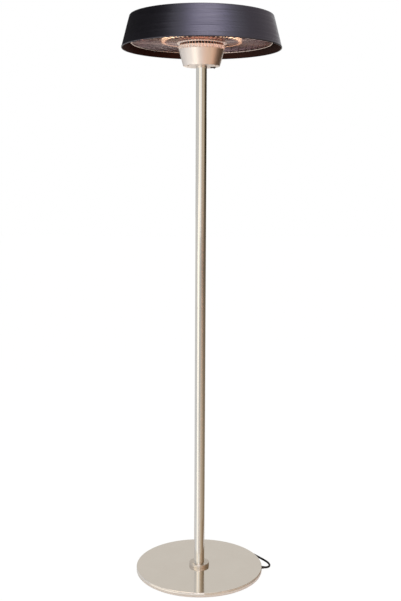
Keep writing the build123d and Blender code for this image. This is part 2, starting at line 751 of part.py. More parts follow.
# The carrier is a welded spider: a socket on the pole's top and three crossed bars, with the
# hood's posts on one half of each bar and the reflector's spacers on the other.
hub_top = pole_top + hub_wall
hub_radius = pole_radius + slip_gap + hub_wall
with BuildPart() as head_carrier:
    with BuildSketch(Plane.XY.offset(carrier_height)):
        with PolarLocations(0, 3, start_angle=post_angle):
            Rectangle(carrier_bar_length, carrier_bar_width)
    extrude(amount=carrier_sheet)
    with BuildSketch(Plane.XY.offset(hub_top)):
        RegularPolygon(hub_radius, 12, major_radius=False)
    extrude(amount=-hub_depth)
    with BuildSketch(Plane.XY.offset(pole_top)):
        RegularPolygon(pole_radius + slip_gap, 12, major_radius=False)
    extrude(amount=-hub_depth, mode=Mode.SUBTRACT)
    grub_height = hub_top - hub_depth + 2 * grub_radius
    with BuildSketch(Plane.XZ):
        with Locations((0, grub_height)):
            RegularPolygon(grub_radius, 8)
    extrude(amount=2 * hub_radius, mode=Mode.SUBTRACT)
finish(head_carrier, "head_carrier")

with BuildPart() as hub_grub_screw:
    with BuildSketch(Plane.XZ.offset(pole_radius)):
        with Locations((0, grub_height)):
            RegularPolygon(grub_radius, 8)
    extrude(amount=2 * hub_wall)
finish(hub_grub_screw, "hub_grub_screw")

# ---------------------------------------------------------------- hood
# A truncated cone with a flat top, spun from one sheet.
hood_slope = (hood_rim_radius - hood_top_radius) / hood_height
hood_side = drafted(
    flats(hood_rim_radius, large_sides, hood_rim_height),
    hood_height - hood_edge,
    -(hood_height - hood_edge) * hood_slope,
)
hood_crown = drafted(
    flats(hood_top_radius + hood_edge * hood_slope, large_sides, hood_top_height - hood_edge),
    hood_edge,
    -hood_edge * (1 + hood_slope),
)
hood_inside = drafted(
    flats(hood_rim_radius - hood_sheet, large_sides, hood_rim_height),
    hood_ceiling - hood_rim_height,
    hood_top_radius - hood_rim_radius - hood_sheet,
)
with BuildPart() as hood_shell:
    add(hood_side)
    add(hood_crown)
    add(hood_inside, mode=Mode.SUBTRACT)
    shanks(hood_post_circle, post_angle, hood_top_height, -hood_sheet,
           screw_radius + hole_gap, Mode.SUBTRACT)
finish(hood_shell, "hood_shell")

with BuildPart() as hood_posts:
    prisms(hood_post_circle, post_angle, carrier_top, hood_ceiling - carrier_top, hood_post_half)
    shanks(hood_post_circle, post_angle, hood_ceiling, -screw_depth, screw_radius, Mode.SUBTRACT)
finish(hood_posts, "hood_posts")

with BuildPart() as hood_screws:
    prisms(hood_post_circle, post_angle, hood_top_height, screw_head_height, screw_head_half)
    shanks(hood_post_circle, post_angle, hood_top_height, -hood_sheet - screw_depth, screw_radius)
finish(hood_screws, "hood_screws")

# ---------------------------------------------------------------- free cord


def bend_radii(points):
    """Each corner's arc: 0.45 of its shorter run, over the tangent of half the turn."""
    radii = []
    for before, corner, after in zip(points, points[1:], points[2:]):
        first = Vector(*corner) - Vector(*before)
        second = Vector(*after) - Vector(*corner)
        half_turn = radians(first.get_angle(second)) / 2
        radii.append(0.45 * min(first.length, second.length) / tan(half_turn))
    return radii


def tube_check(label, route, tube):
    """Prints a tube's length, and its volume against its section times that length."""
    length = sum(edge.length for edge in route.edges())
    section = cord_sides / 2 * cord_radius**2 * sin(2 * pi / cord_sides)
    print(label, "length", round(length, 1), "volume", round(tube.part.volume))
    print(label, "section x length", round(section * length))


# The hank's loops stand upright side by side. Each run leans from the fold to the waist, where the
# lower and upper runs pass each other, and each upper run climbs one step sideways.
hank_far = hank_near + hank_run
hank_centre = (hank_near + hank_far) / 2
waist_reach = hank_run / 2 - hank_waist_half
waist_distance = (waist_reach**2 + hank_waist_rise**2) ** 0.5
lean = asin(hank_fold / waist_distance) - atan(hank_waist_rise / waist_reach)
fold_turn = (pi + 2 * lean) / fold_corners  # how far the cord turns at each corner of a fold
fold_reach = hank_fold / cos(fold_turn / 2)
low_waist = hank_middle - hank_waist_rise
high_waist = hank_middle + hank_waist_rise
floor_reach = hank_waist_half + (low_waist - cord_rest) / tan(lean)
first_plane = hank_loops * hank_step / 2
hank_start = hank_centre - floor_reach - hank_lead_in

# Straight out of the strain relief, round the base at the back, close to its rim, and off to the
# hank behind the pole.
cord_points = [
    (relief_tip, 0, cable_height),
    (264.5, 0, cable_height),
    (273.0, 9.6, 7.0),
    (278.4, 24.4, 5.0),
    (278.6, 42.4, 4.2),
    (271.9, 61.4, cord_rest),
    (258.8, 81.6, cord_rest),
    (242.2, 104.2, cord_rest),
    (221.6, 132.0, cord_rest),
    (196.4, 168.0, cord_rest),
    (159.0, 203.8, cord_rest),
    (113.2, 232.4, cord_rest),
    (69.6, 246.0, cord_rest),
    (38.2, 250.6, cord_rest),
    (24.4, 258.5, cord_rest),
    (14.2, 270.7, cord_rest),
    (first_plane, 285.7, cord_rest),
    (first_plane, hank_start, cord_rest),
]
cord_radii = bend_radii(cord_points)
print("cord bend radii", [round(radius, 1) for radius in cord_radii])
with BuildPart() as power_cord:
    with BuildLine() as cord_route:
        FilletPolyline(*cord_points, radius=cord_radii)
    with BuildSketch(Plane(origin=cord_route.line @ 0, z_dir=cord_route.line % 0)):
        RegularPolygon(cord_radius, cord_sides)
    sweep()
tube_check("power_cord", cord_route.line, power_cord)
finish(power_cord, "power_cord")



def fold(x, centre, side):
    """The corners of one fold in the plane at x: side is 1 for a far fold, -1 for a near one."""
    turns = [(corner + 0.5) * fold_turn - lean - pi / 2 for corner in range(fold_corners)]
    return [
        (x, centre + side * fold_reach * cos(turn), hank_middle + side * fold_reach * sin(turn))
        for turn in turns
    ]


hank_points = [
    (first_plane, hank_start, cord_rest),
    (first_plane, hank_centre - floor_reach, cord_rest),
]
for loop in range(hank_loops):
    here = first_plane - loop * hank_step
    there = here - hank_step
    hank_points += [
        (here, hank_centre - hank_waist_half, low_waist),
        (here, hank_centre + hank_waist_half, low_waist),
        *fold(here, hank_far, 1),
        (here - 0.3 * hank_step, hank_centre + hank_waist_half, high_waist),
        (there + 0.3 * hank_step, hank_centre - hank_waist_half, high_waist),
        *fold(there, hank_near, -1),
    ]
last_plane = first_plane - hank_loops * hank_step
hank_end = hank_far + hank_fold + cord_radius + hank_tail
hank_points += [
    (last_plane, hank_centre - hank_waist_half, low_waist),
    (last_plane, hank_centre + hank_waist_half, low_waist),
    (last_plane, hank_centre + floor_reach, cord_rest),
    (last_plane + 0.6, hank_end - hank_tail_end, cord_rest),
    (last_plane + 1.8, hank_end, cord_rest + hank_tail_end * tan(radians(plug_tilt))),
]
hank_radii = bend_radii(hank_points)
print("hank bend radii", sorted({round(radius, 1) for radius in hank_radii}))
with BuildPart() as cord_hank:
    with BuildLine() as hank_route:
        FilletPolyline(*hank_points, radius=hank_radii)
    with BuildSketch(Plane(origin=hank_route.line @ 0, z_dir=hank_route.line % 0)):
        RegularPolygon(cord_radius, cord_sides)
    sweep()
tube_check("cord_hank", hank_route.line, cord_hank)
finish(cord_hank, "cord_hank")

# The least gap of the hank to itself, between points that lie further apart along it than a fold.
sample_step = 3.0
hank_length = sum(edge.length for edge in hank_route.line.edges())
sample_count = round(hank_length / sample_step)
hank_wire = hank_route.line.wires()[0]
samples = [hank_wire @ (k / sample_count) for k in range(sample_count + 1)]
skip = round(pi * hank_fold / sample_step)
least = min(
    (first - second).length
    for index, first in enumerate(samples)
    for second in samples[index + skip:]
)
print("hank's least gap to itself", round(least - 2 * cord_radius, 2))

# A flat strap goes round the waist, over its outer turns.
low_half = first_plane + cord_radius + slip_gap
high_half = first_plane - 0.3 * hank_step + cord_radius + slip_gap
strap_bottom = low_waist - cord_radius - slip_gap
strap_top = high_waist + cord_radius + slip_gap
strap_corner = 0.58 * (cord_radius + slip_gap)  # cuts the lower corners, clear of the cord
strap_sides = [
    (high_half, strap_top),
    (low_half, low_waist + cord_radius),
    (low_half, strap_bottom + strap_corner),
    (low_half - strap_corner, strap_bottom),
]
with BuildSketch(Plane.XZ.offset(-hank_centre)) as strap_inside:
    with BuildLine():
        Polyline(*strap_sides, *[(-x, z) for x, z in reversed(strap_sides)], close=True)
    make_face()
with BuildPart() as hank_tie:
    with BuildSketch(Plane.XZ.offset(-hank_centre)):
        add(strap_inside.sketch_local)
        offset(amount=tie_sheet, kind=Kind.INTERSECTION)
        add(strap_inside.sketch_local, mode=Mode.SUBTRACT)
    extrude(amount=tie_width / 2, both=True)
finish(hank_tie, "hank_tie")

# ---------------------------------------------------------------- plug
# The pins sit in sockets of the body, which is one moulding with its tapered strain relief.
plug_plane = Plane(origin=hank_wire @ 1, x_dir=(-1, 0, 0), z_dir=hank_wire % 1)
tail_plane = plug_plane.offset(plug_relief_length)
face_plane = tail_plane.offset(plug_length)
pin_foot = face_plane.offset(-plug_socket)
with BuildPart() as plug_pins:
    with BuildSketch(pin_foot):
        with Locations((0, pin_offset)):
            with GridLocations(blade_spacing, 0, 2, 1):
                Rectangle(blade_size[0], blade_size[1])
    extrude(amount=plug_socket + blade_size[2])
    with BuildSketch(pin_foot):
        with Locations((0, -pin_offset)):
            RegularPolygon(earth_pin_radius, 12)
    extrude(amount=plug_socket + earth_pin_length)
finish(plug_pins, "plug_pins")

with BuildSketch(face_plane) as plug_outline:
    Rectangle(plug_width, plug_height)
    chamfer(vertices(), length=plug_corner)
with BuildSketch(plug_plane) as tail_outline:
    RegularPolygon(relief_tip_radius, relief_sides)
plug_block = drafted(plug_outline.sketch, -plug_length, -plug_length * tan(radians(plug_taper)))
plug_relief = drafted(
    tail_outline.sketch, plug_relief_length, relief_root_radius - relief_tip_radius
)
with BuildPart() as plug_body:
    add(plug_block)
    add(plug_relief)
    add(plug_pins.part, mode=Mode.SUBTRACT)
finish(plug_body, "plug_body")
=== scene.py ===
# %% [markdown]
# # An infrared patio heater tower
# A round weighted base carries a thin polished pole and a black lamp-shade hood. Under the hood
# hang a reflector, a ring-shaped quartz tube, a guard of radial wires and a tapered cup with a
# rocker switch. The CAD model is a fixed frame that says how large each piece is and where it
# sits, and this lesson builds the finished surfaces round it. Sizes are in millimetres, and MM
# turns them to Blender's metres.

# %% Load the fixed frame
import math

import bpy
from mathutils import Matrix, Vector


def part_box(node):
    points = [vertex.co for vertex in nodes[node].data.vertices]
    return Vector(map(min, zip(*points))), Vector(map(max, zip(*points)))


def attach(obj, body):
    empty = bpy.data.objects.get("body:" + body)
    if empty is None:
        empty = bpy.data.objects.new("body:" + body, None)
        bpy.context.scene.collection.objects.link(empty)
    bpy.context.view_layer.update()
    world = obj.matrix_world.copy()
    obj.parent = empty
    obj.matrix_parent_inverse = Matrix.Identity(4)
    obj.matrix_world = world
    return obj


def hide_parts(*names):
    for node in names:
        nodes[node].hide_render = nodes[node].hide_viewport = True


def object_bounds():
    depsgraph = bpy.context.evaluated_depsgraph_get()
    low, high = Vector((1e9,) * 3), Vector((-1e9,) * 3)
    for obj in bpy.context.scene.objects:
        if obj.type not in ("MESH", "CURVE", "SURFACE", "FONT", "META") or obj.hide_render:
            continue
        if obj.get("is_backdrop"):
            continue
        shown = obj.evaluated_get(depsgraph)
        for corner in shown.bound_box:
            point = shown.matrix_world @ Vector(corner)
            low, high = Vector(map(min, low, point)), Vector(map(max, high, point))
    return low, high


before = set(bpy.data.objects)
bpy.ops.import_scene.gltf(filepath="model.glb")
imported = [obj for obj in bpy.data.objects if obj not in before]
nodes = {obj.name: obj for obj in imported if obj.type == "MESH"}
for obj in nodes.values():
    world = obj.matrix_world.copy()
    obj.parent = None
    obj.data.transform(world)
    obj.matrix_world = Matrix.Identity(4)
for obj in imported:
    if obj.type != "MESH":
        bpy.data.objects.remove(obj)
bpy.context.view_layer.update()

MM = 0.001

# %% [markdown]
# ## The camera
# The heater was pictured from the front at chest height, looking slightly down. A camera can be
# aimed by eye or by a constraint. Here its place and angles are written out, so that each run
# frames the heater alike. It comes first, because the cord is measured against what it sees.

# %% Camera
LENS, SENSOR = 52.97, 36  # millimetres; the sensor is the long side of the frame
EYE = (0.0129, -3.3005, 1.5214)  # metres
YAW, PITCH, ROLL = math.radians(-0.22), math.radians(-7.85), math.radians(0.275)

bpy.ops.object.camera_add(location=EYE)
camera = bpy.context.object
camera.data.lens = LENS
camera.data.sensor_width = SENSOR
turn = (
    Matrix.Rotation(-YAW, 3, "Z")
    @ Matrix.Rotation(math.pi / 2 + PITCH, 3, "X")
    @ Matrix.Rotation(ROLL, 3, "Z")
)
camera.rotation_euler = turn.to_euler()
bpy.context.scene.camera = camera
print("camera at", EYE, "with a lens of", LENS)

# %% [markdown]
# ## Colours and shader nodes
# Colours are sRGB hex values, as on a paint chart, and one function turns them to the linear
# values that shaders want. Nodes can be wired by hand in the editor. A helper that adds a node,
# sets it and links what feeds it lets a finish be read as a recipe.

# %% Colour and node helpers
def linear(hex_colour):
    """The linear RGBA of an sRGB colour such as '#8a7f74'."""
    channels = [int(hex_colour[i:i + 2], 16) / 255 for i in (1, 3, 5)]
    curve = [c / 12.92 if c <= 0.04045 else ((c + 0.055) / 1.055) ** 2.4 for c in channels]
    return (*curve, 1)


def add_node(tree, kind, inputs, **settings):
    """Adds one shader node; an input that is a socket is linked, any other is set."""
    node = tree.nodes.new("ShaderNode" + kind)
    for name, value in settings.items():
        setattr(node, name, value)
    for name, value in inputs.items():
        if isinstance(value, bpy.types.NodeSocket):
            tree.links.new(value, node.inputs[name])
        else:
            node.inputs[name].default_value = value
    return node


print("middle grey is", [round(v, 3) for v in linear("#808080")])

# %% [markdown]
# ## What all finishes share
# No real surface has one flat colour. A mottle blends two close colours in soft patches about a
# hand wide, as heat and handling leave them. A grain is far finer, is drawn out the way the
# surface was worked, and changes relief and gloss together. Pictures could do this, but noise on
# the object's own coordinates has a real size and stays on the piece.

# %% Mottle and grain
FIRST, SECOND = 6, 7  # the sockets of a Mix node that take its two colours


def new_finish(name):
    """A material with its shader, and the Object coordinates that its patterns read."""
    material = bpy.data.materials.new(name)
    material.use_nodes = True
    tree = material.node_tree
    where = add_node(tree, "TexCoord", {}).outputs["Object"]
    return material, tree, tree.nodes["Principled BSDF"], where


def mottle(tree, shader, where, dark, light, patch):
    """Blends two colours in soft patches of this size."""
    noise = add_node(tree, "TexNoise", {"Vector": where, "Scale": 1 / (patch * MM), "Detail": 4.0})
    colours = {0: noise.outputs["Fac"], FIRST: linear(dark), SECOND: linear(light)}
    blend = add_node(tree, "Mix", colours, data_type="RGBA")
    tree.links.new(blend.outputs[2], shader.inputs["Base Color"])


def grain(tree, shader, where, marks, depth, smooth, rough):
    """Marks of one size, or of three along x, y and z, this deep, between two roughnesses."""
    sizes = marks if isinstance(marks, tuple) else (marks,) * 3
    scale = [1 / (size * MM) for size in sizes]
    drawn_out = add_node(tree, "Mapping", {"Vector": where, "Scale": scale})
    noise = add_node(
        tree, "TexNoise", {"Vector": drawn_out.outputs["Vector"], "Scale": 1.0, "Detail": 3.0}
    )
    level = add_node(
        tree, "MapRange", {"Value": noise.outputs["Fac"], "To Min": smooth, "To Max": rough}
    )
    tree.links.new(level.outputs["Result"], shader.inputs["Roughness"])
    bump = add_node(
        tree, "Bump", {"Height": noise.outputs["Fac"], "Distance": depth * MM, "Strength": 0.6}
    )
    tree.links.new(bump.outputs["Normal"], shader.inputs["Normal"])


print("patterns read Object coordinates, in metres")

# %% [markdown]
# ## Marks that run round
# Base, cup, reflector and hood were spun or turned, so their marks run in circles. A ring-shaped
# wave texture gives evenly spaced rings, which real work hasn't. Here a place is turned to
# distance from the pole, angle and height, and plain noise makes uneven marks that follow the
# circle. Along the angle a mark's size is in thousandths of a radian.

# %% Place round the pole
def polar_place(tree, where):
    """Distance from the pole's axis, angle round it, and height, as a vector for patterns."""
    parts = add_node(tree, "SeparateXYZ", {"Vector": where})
    flat = add_node(tree, "CombineXYZ", {"X": parts.outputs["X"], "Y": parts.outputs["Y"]})
    radius = add_node(tree, "VectorMath", {0: flat.outputs["Vector"]}, operation="LENGTH")
    angle = add_node(
        tree, "Math", {0: parts.outputs["Y"], 1: parts.outputs["X"]}, operation="ARCTAN2"
    )
    polar = {"X": radius.outputs["Value"], "Y": angle.outputs["Value"], "Z": parts.outputs["Z"]}
    return add_node(tree, "CombineXYZ", polar).outputs["Vector"]


# %% [markdown]
# ## Two families of finish
# Rubber, plastic, paint and ceramic have a colour below and a clear gloss above, whose strength
# and tint can be set. Metal has no such layer, and its colour is its reflection. Each could have
# a recipe of its own, but they differ in one value: metal raises Metallic on the shader.

# %% Coated and polished finishes
def coated(name, dark, light, marks, depth, smooth, rough, polar=False, patch=60,
           sheen="#ffffff", gloss=0.5):
    """A non-metal: soft patches of two colours, a fine relief and a tinted gloss."""
    material, tree, shader, where = new_finish(name)
    shader.inputs["Specular IOR Level"].default_value = gloss
    shader.inputs["Specular Tint"].default_value = linear(sheen)
    mottle(tree, shader, where, dark, light, patch)
    marked = polar_place(tree, where) if polar else where
    grain(tree, shader, marked, marks, depth, smooth, rough)
    print("finish", name)
    return material


def polished(name, dark, light, marks, smooth, rough, depth=0.01, patch=90, polar=False,
             edge="#ffffff", metallic=1.0):
    """A metal with the marks of its polishing; edge is its tint at a grazing angle."""
    material = coated(name, dark, light, marks, depth, smooth, rough, polar, patch, edge)
    material.node_tree.nodes["Principled BSDF"].inputs["Metallic"].default_value = metallic
    return material


print("helpers for the two families are ready")

# %% [markdown]
# ## The mains cord
# An 8 mm rubber cord leaves the base at the right, drops to the floor and goes round the back. A
# tube swept along arcs would look like bent wire. A NURBS line only leans towards its points, as a
# stiff cord leans into a bend, so the route is a few corners.

# %% Cord route on the floor
CORD_RADIUS = 4.0
REST = 4.05  # height of the cord's middle where it lies on the floor
relief_low, relief_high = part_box("strain_relief")
cord_exit = Vector((relief_high.x, 0, (relief_low.z + relief_high.z) / 2))
floor_route = [
    (264.5, 0, 9.2), (273.0, 9.6, 7.0), (278.4, 24.4, 5.0), (278.6, 42.4, 4.2),
    (271.9, 61.4, REST), (258.8, 81.6, REST), (242.2, 104.2, REST), (221.6, 132.0, REST),
    (196.4, 168.0, REST), (159.0, 203.8, REST), (113.2, 232.4, REST), (69.6, 246.0, REST),
    (38.2, 250.6, REST), (24.4, 258.5, REST), (14.2, 270.7, REST), (8.8, 285.7, REST),
]
print("the cord leaves the base", round(cord_exit.z / MM, 1), "mm above the floor")

# %% [markdown]
# ## The folded rest of the cord
# The length that the picture doesn't show is folded into a small upright hank behind the pole and
# tied at its waist. Folds drawn by hand wouldn't match, so one fold is worked out from its radius.
# Lean is the slope of the runs that cross at the waist.

# %% One fold of the hank
LOOPS, STEP = 2, 8.8  # the loops, and the width that each takes
NEAR_FOLDS, RUN = 312.0, 158.0  # the middle of the near folds, and how far away the others are
FOLD, CORNERS, MIDDLE = 27.0, 4, 31.3  # a fold's radius and corners, and its middle's height
WAIST_HALF, WAIST_RISE = 14.0, 4.6  # half the waist's length, and its runs above the middle
far_folds = NEAR_FOLDS + RUN
centre = (NEAR_FOLDS + far_folds) / 2
reach = RUN / 2 - WAIST_HALF
lean = math.asin(FOLD / math.hypot(reach, WAIST_RISE)) - math.atan(WAIST_RISE / reach)
fold_turn = (math.pi + 2 * lean) / CORNERS
fold_leg = 2 * FOLD * math.tan(fold_turn / 2)


def fold(x, along, side):
    """The corners of one fold: side is 1 for a far fold, -1 for a near one."""
    out = FOLD / math.cos(fold_turn / 2)
    turns = [(corner + 0.5) * fold_turn - lean - math.pi / 2 for corner in range(CORNERS)]
    return [
        (x, along + side * out * math.cos(t), MIDDLE + side * out * math.sin(t)) for t in turns
    ]


def beside(corner, other):
    """A point on the run from a fold's corner, as far from it as the fold's next corner is."""
    run = Vector(other) - Vector(corner)
    return tuple(Vector(corner) + run.normalized() * fold_leg)


print("a fold turns", round(math.degrees(fold_turn) * CORNERS), "degrees")

# %% [markdown]
# ## The hank's loops
# A loop goes to the far fold low through the waist and comes back high, one step further over. The
# runs are more than twice as long as a fold's legs, so one more point beside each fold keeps the
# line as round there as the folded cord is.

# %% The loops' points
WAIST_SHIFT = 0.3  # share of a step by which the upper runs lean together at the waist
LEAD_IN = 16.0  # length on the floor before the first loop rises
first_plane = LOOPS * STEP / 2
low_waist, high_waist = MIDDLE - WAIST_RISE, MIDDLE + WAIST_RISE
floor_reach = WAIST_HALF + (low_waist - REST) / math.tan(lean)
points = [tuple(v / MM for v in cord_exit), *floor_route]
points += [
    (first_plane, centre - floor_reach - LEAD_IN, REST), (first_plane, centre - floor_reach, REST),
]
for loop in range(LOOPS):
    here = first_plane - loop * STEP
    there = here - STEP
    far_fold, near_fold = fold(here, far_folds, 1), fold(there, NEAR_FOLDS, -1)
    low_far = (here, centre + WAIST_HALF, low_waist)
    high_far = (here - WAIST_SHIFT * STEP, centre + WAIST_HALF, high_waist)
    high_near = (there + WAIST_SHIFT * STEP, centre - WAIST_HALF, high_waist)
    low_next = (there, centre - WAIST_HALF, low_waist)
    points += [
        (here, centre - WAIST_HALF, low_waist), low_far,
        beside(far_fold[0], low_far), *far_fold, beside(far_fold[-1], high_far),
        high_far, high_near,
        beside(near_fold[0], high_near), *near_fold, beside(near_fold[-1], low_next),
    ]
print("route points so far", len(points))

# %% [markdown]
# ## The cord's tail and its curve
# After the last loop the cord drops to the floor and rises a little into the tilted plug. One
# spline of order 3 follows the whole route. The order is set after the points are there: set
# before, Blender keeps it at straight runs.

# %% Tail and curve
# Black rubber, extruded round the cores. The die leaves a dull skin that gives the eye one soft
# highlight along the cord. Its grain, some 0.1 mm, is drawn 2 mm wide so that it shows.
cord_rubber = coated("extruded_rubber_sheath", "#0a0a0b", "#101011", 2, 0.02, 0.42, 0.56,
                     gloss=0.2)
TAIL, TAIL_END, PLUG_TILT = 22.0, 12.0, math.radians(6.3)
last_plane = first_plane - LOOPS * STEP
hank_end = far_folds + FOLD + CORD_RADIUS + TAIL
points += [
    (last_plane, centre - WAIST_HALF, low_waist),
    (last_plane, centre + WAIST_HALF, low_waist),
    (last_plane, centre + floor_reach, REST),
    (last_plane + 0.6, hank_end - TAIL_END, REST),
    (last_plane + 1.8, hank_end, REST + TAIL_END * math.tan(PLUG_TILT)),
]
cord_data = bpy.data.curves.new("mains_cord", "CURVE")
cord_data.dimensions = "3D"
line = cord_data.splines.new("NURBS")
line.points.add(len(points) - 1)
for control, point in zip(line.points, points):
    control.co = (*[v * MM for v in point], 1)
line.order_u = 3
line.use_endpoint_u = True
line.resolution_u = 10
cord_data.bevel_depth = CORD_RADIUS * MM
cord_data.bevel_resolution = 6
cord_data.use_fill_caps = True
cord_data.materials.append(cord_rubber)
mains_cord = bpy.data.objects.new("mains_cord", cord_data)
bpy.context.collection.objects.link(mains_cord)
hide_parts("power_cord", "cord_hank")
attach(mains_cord, "stand")
print("cord length", round(line.calc_length(), 3), "m")

# %% [markdown]
# ## Rounding an edge
# No real edge is sharp: a small radius catches a line of light. A Subdivision Surface would melt
# the whole form. A Bevel modifier, limited by angle and applied, rounds only the edges, and
# shading by angle keeps the flats flat.

# %% Helpers for selecting, shading and rounding
def deselect():
    """Deselects everything, because an operator acts on all that is selected."""
    bpy.ops.object.select_all(action="DESELECT")


def only(piece):
    """Selects this piece alone and makes it the active one."""
    deselect()
    piece.select_set(True)
    bpy.context.view_layer.objects.active = piece
    return piece


def smooth_shaded(piece):
    """Shades a piece smooth, except over edges sharper than 35 degrees."""
    only(piece)
    bpy.ops.object.shade_smooth_by_angle(angle=math.radians(35))
    return piece


def eased(piece, width, segments=2):
    """Rounds the edges that turn more than 30 degrees by this width."""
    only(piece)
    bpy.ops.object.modifier_add(type="BEVEL")
    bevel = piece.modifiers[-1]
    bevel.width = width * MM
    bevel.segments = segments
    bevel.limit_method = "ANGLE"
    bevel.angle_limit = math.radians(30)
    bpy.ops.object.modifier_apply(modifier=bevel.name)
    return smooth_shaded(piece)


print("CAD nodes to dress or replace", len(nodes))

# %% [markdown]
# ## Dressing a CAD piece
# Plug, clips and screws are small, and their CAD solids have the right form. Modelled anew, they
# would drift from their places. So a copy of the node is merged to one skin, its flat faces are
# dissolved to single ones, and its edges are rounded.

# %% Helpers that dress and place a piece
def edit_all():
    """Enters edit mode with all of the active piece selected."""
    bpy.ops.object.mode_set(mode="EDIT")
    bpy.ops.mesh.select_all(action="SELECT")


def dressed(name, node, width, segments=2):
    """A copy of a CAD node with its triangles merged and its edges rounded, in its place."""
    copy = bpy.data.objects.new(name, nodes[node].data.copy())
    bpy.context.collection.objects.link(copy)
    only(copy)
    edit_all()
    bpy.ops.mesh.remove_doubles(threshold=0.002 * MM)
    bpy.ops.mesh.dissolve_limited(angle_limit=math.radians(1))
    bpy.ops.object.mode_set(mode="OBJECT")
    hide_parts(node)
    return eased(copy, width, segments)


def place(piece, material, body="stand", replaces=()):
    """Gives a finished piece its material and the body it rides on, and hides the nodes it
    replaces.
    """
    if material is not None:
        piece.data.materials.clear()
        piece.data.materials.append(material)
    if replaces:
        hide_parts(*replaces)
    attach(piece, body)
    print(piece.name, "faces", len(piece.data.polygons))
    return piece


# %% [markdown]
# ## Plug, pins and tie
# The plug is moulded of rubber, its pins are brass, and the tie is a strap of nylon. All are
# dressed.

# %% Rubber, nylon and brass
# Moulded rubber: its mould is blasted to a fine matt, which gives the eye a grey, even dullness.
# The grit of the blasting, 0.2 mm, is drawn 1.1 mm wide.
black_rubber = coated("moulded_black_rubber", "#161617", "#1e1e1f", 1.111, 0.03, 0.55, 0.7)
# Nylon, injection moulded in a lightly etched mould: a satin black with clearer highlights than
# rubber. The etched grain of 0.2 mm is drawn 0.8 mm wide.
black_plastic = coated("moulded_black_nylon", "#151516", "#1d1d1f", 0.833, 0.03, 0.36, 0.48)
# Brass, cut from drawn bar: a yellow that shines along the pin. The 0.1 mm lines of the die are
# drawn 2 mm wide.
brass = polished("brass_pin", "#b59a55", "#c8ae6a", 2, 0.22, 0.34)

# %% Plug, pins and tie
plug = place(dressed("moulded_plug", "plug_body", 1.6, 3), black_rubber)
pins = place(dressed("plug_pin_set", "plug_pins", 0.4), brass)
tie = place(dressed("cord_tie", "hank_tie", 0.4), black_plastic)

# %% [markdown]
# ## Turning a round piece
# Almost everything here was spun from sheet or turned on a lathe. The Screw modifier could revolve
# a profile. Pulling the form up ring by ring is closer to work by hand: add a circle, extrude it,
# scale the new ring, and go on through a list of radii and heights. The list goes round the sheet,
# outside and then inside, so the wall has its real thickness.

# %% Helpers that turn a round piece
def turned(name, sides, sections, ends="joined"):
    """A round piece through these (radius, height) rings, about the pole's axis."""
    deselect()
    radius, height = sections[0]
    bpy.ops.mesh.primitive_circle_add(vertices=sides, radius=radius * MM)
    piece = bpy.context.object
    piece.name = name
    edit_all()
    bpy.ops.transform.translate(value=(0, 0, height * MM))
    for next_radius, next_height in sections[1:]:
        rise = (next_height - height) * MM
        bpy.ops.mesh.extrude_region_move(TRANSFORM_OT_translate={"value": (0, 0, rise)})
        growth = next_radius / radius
        bpy.ops.transform.resize(value=(growth, growth, 1), center_override=(0, 0, 0))
        radius, height = next_radius, next_height
    bpy.ops.mesh.select_all(action="DESELECT")
    bpy.ops.mesh.select_mode(type="EDGE")
    bpy.ops.mesh.select_non_manifold()
    if ends == "joined":
        bpy.ops.mesh.bridge_edge_loops()
    else:
        bpy.ops.mesh.select_all(action="SELECT")
        bpy.ops.mesh.fill_holes(sides=0)
    bpy.ops.mesh.select_all(action="SELECT")
    bpy.ops.mesh.normals_make_consistent(inside=False)
    bpy.ops.mesh.select_mode(type="VERT")
    bpy.ops.object.mode_set(mode="OBJECT")
    return smooth_shaded(piece)


def from_point(radius, height, *steps):
    """Points by how far out and how far up they lie from one (radius, height)."""
    return [(radius + out, height + up) for out, up in steps]


def rounded(middle, radius, start, end, steps=4):
    """Points on a round edge: its middle, its radius, and where it starts and ends in degrees."""
    across, up = middle
    angles = [math.radians(start + (end - start) * step / steps) for step in range(steps + 1)]
    return [(across + radius * math.cos(a), up + radius * math.sin(a)) for a in angles]


print("three points on a 2 mm edge", rounded((8, 8), 2, 90, 0, 2))

# %% [markdown]
# ## The base
# The cover is one sheet of stainless steel, spun over a form: flat on top, rounded over the edge,
# with a shallow groove rolled round the skirt and a foot that turns in. A flattened cylinder would
# have none of these, and they catch the light along the rim.

# %% Base cover
# Stainless steel, spun and then polished to a satin on the lathe. It gives the eye a warm grey
# mirror that is a little soft. The circles of the polishing, 0.05 mm wide, are drawn 0.7 mm wide.
base_steel = polished("spun_satin_stainless", "#ebe4db", "#f2ece4", (0.714, 500, 25), 0.07, 0.13,
                      depth=0.004, polar=True)
base_low, base_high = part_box("base_cover")
base_radius, base_top, skirt_foot = base_high.x / MM, base_high.z / MM, base_low.z / MM
BASE_SHEET, BASE_EDGE, BASE_HOLE = 1.2, 1.6, 30
skirt_inside = base_radius - BASE_SHEET - 1.2
base_cover = turned("base_cover_spun", 192, [
    (BASE_HOLE, base_top), (4 * BASE_HOLE, base_top), (base_radius - BASE_EDGE - 4, base_top),
    *rounded((base_radius - BASE_EDGE, base_top - BASE_EDGE), BASE_EDGE, 90, 0),
    *from_point(base_radius, base_top, (-0.3, -2.4), (-1.1, -3.4), (-1.1, -4.4),
                (-0.3, -5.4), (0, -6.4)),
    *from_point(base_radius, skirt_foot, (0, 3.2), (-0.3, 1.8), (-1.0, 0.5), (-1.6, 0)),
    (skirt_inside, skirt_foot), (skirt_inside, base_top - 6),
    (base_radius - BASE_SHEET, base_top - BASE_SHEET), (BASE_HOLE, base_top - BASE_SHEET),
])
place(base_cover, base_steel, replaces=["base_cover"])

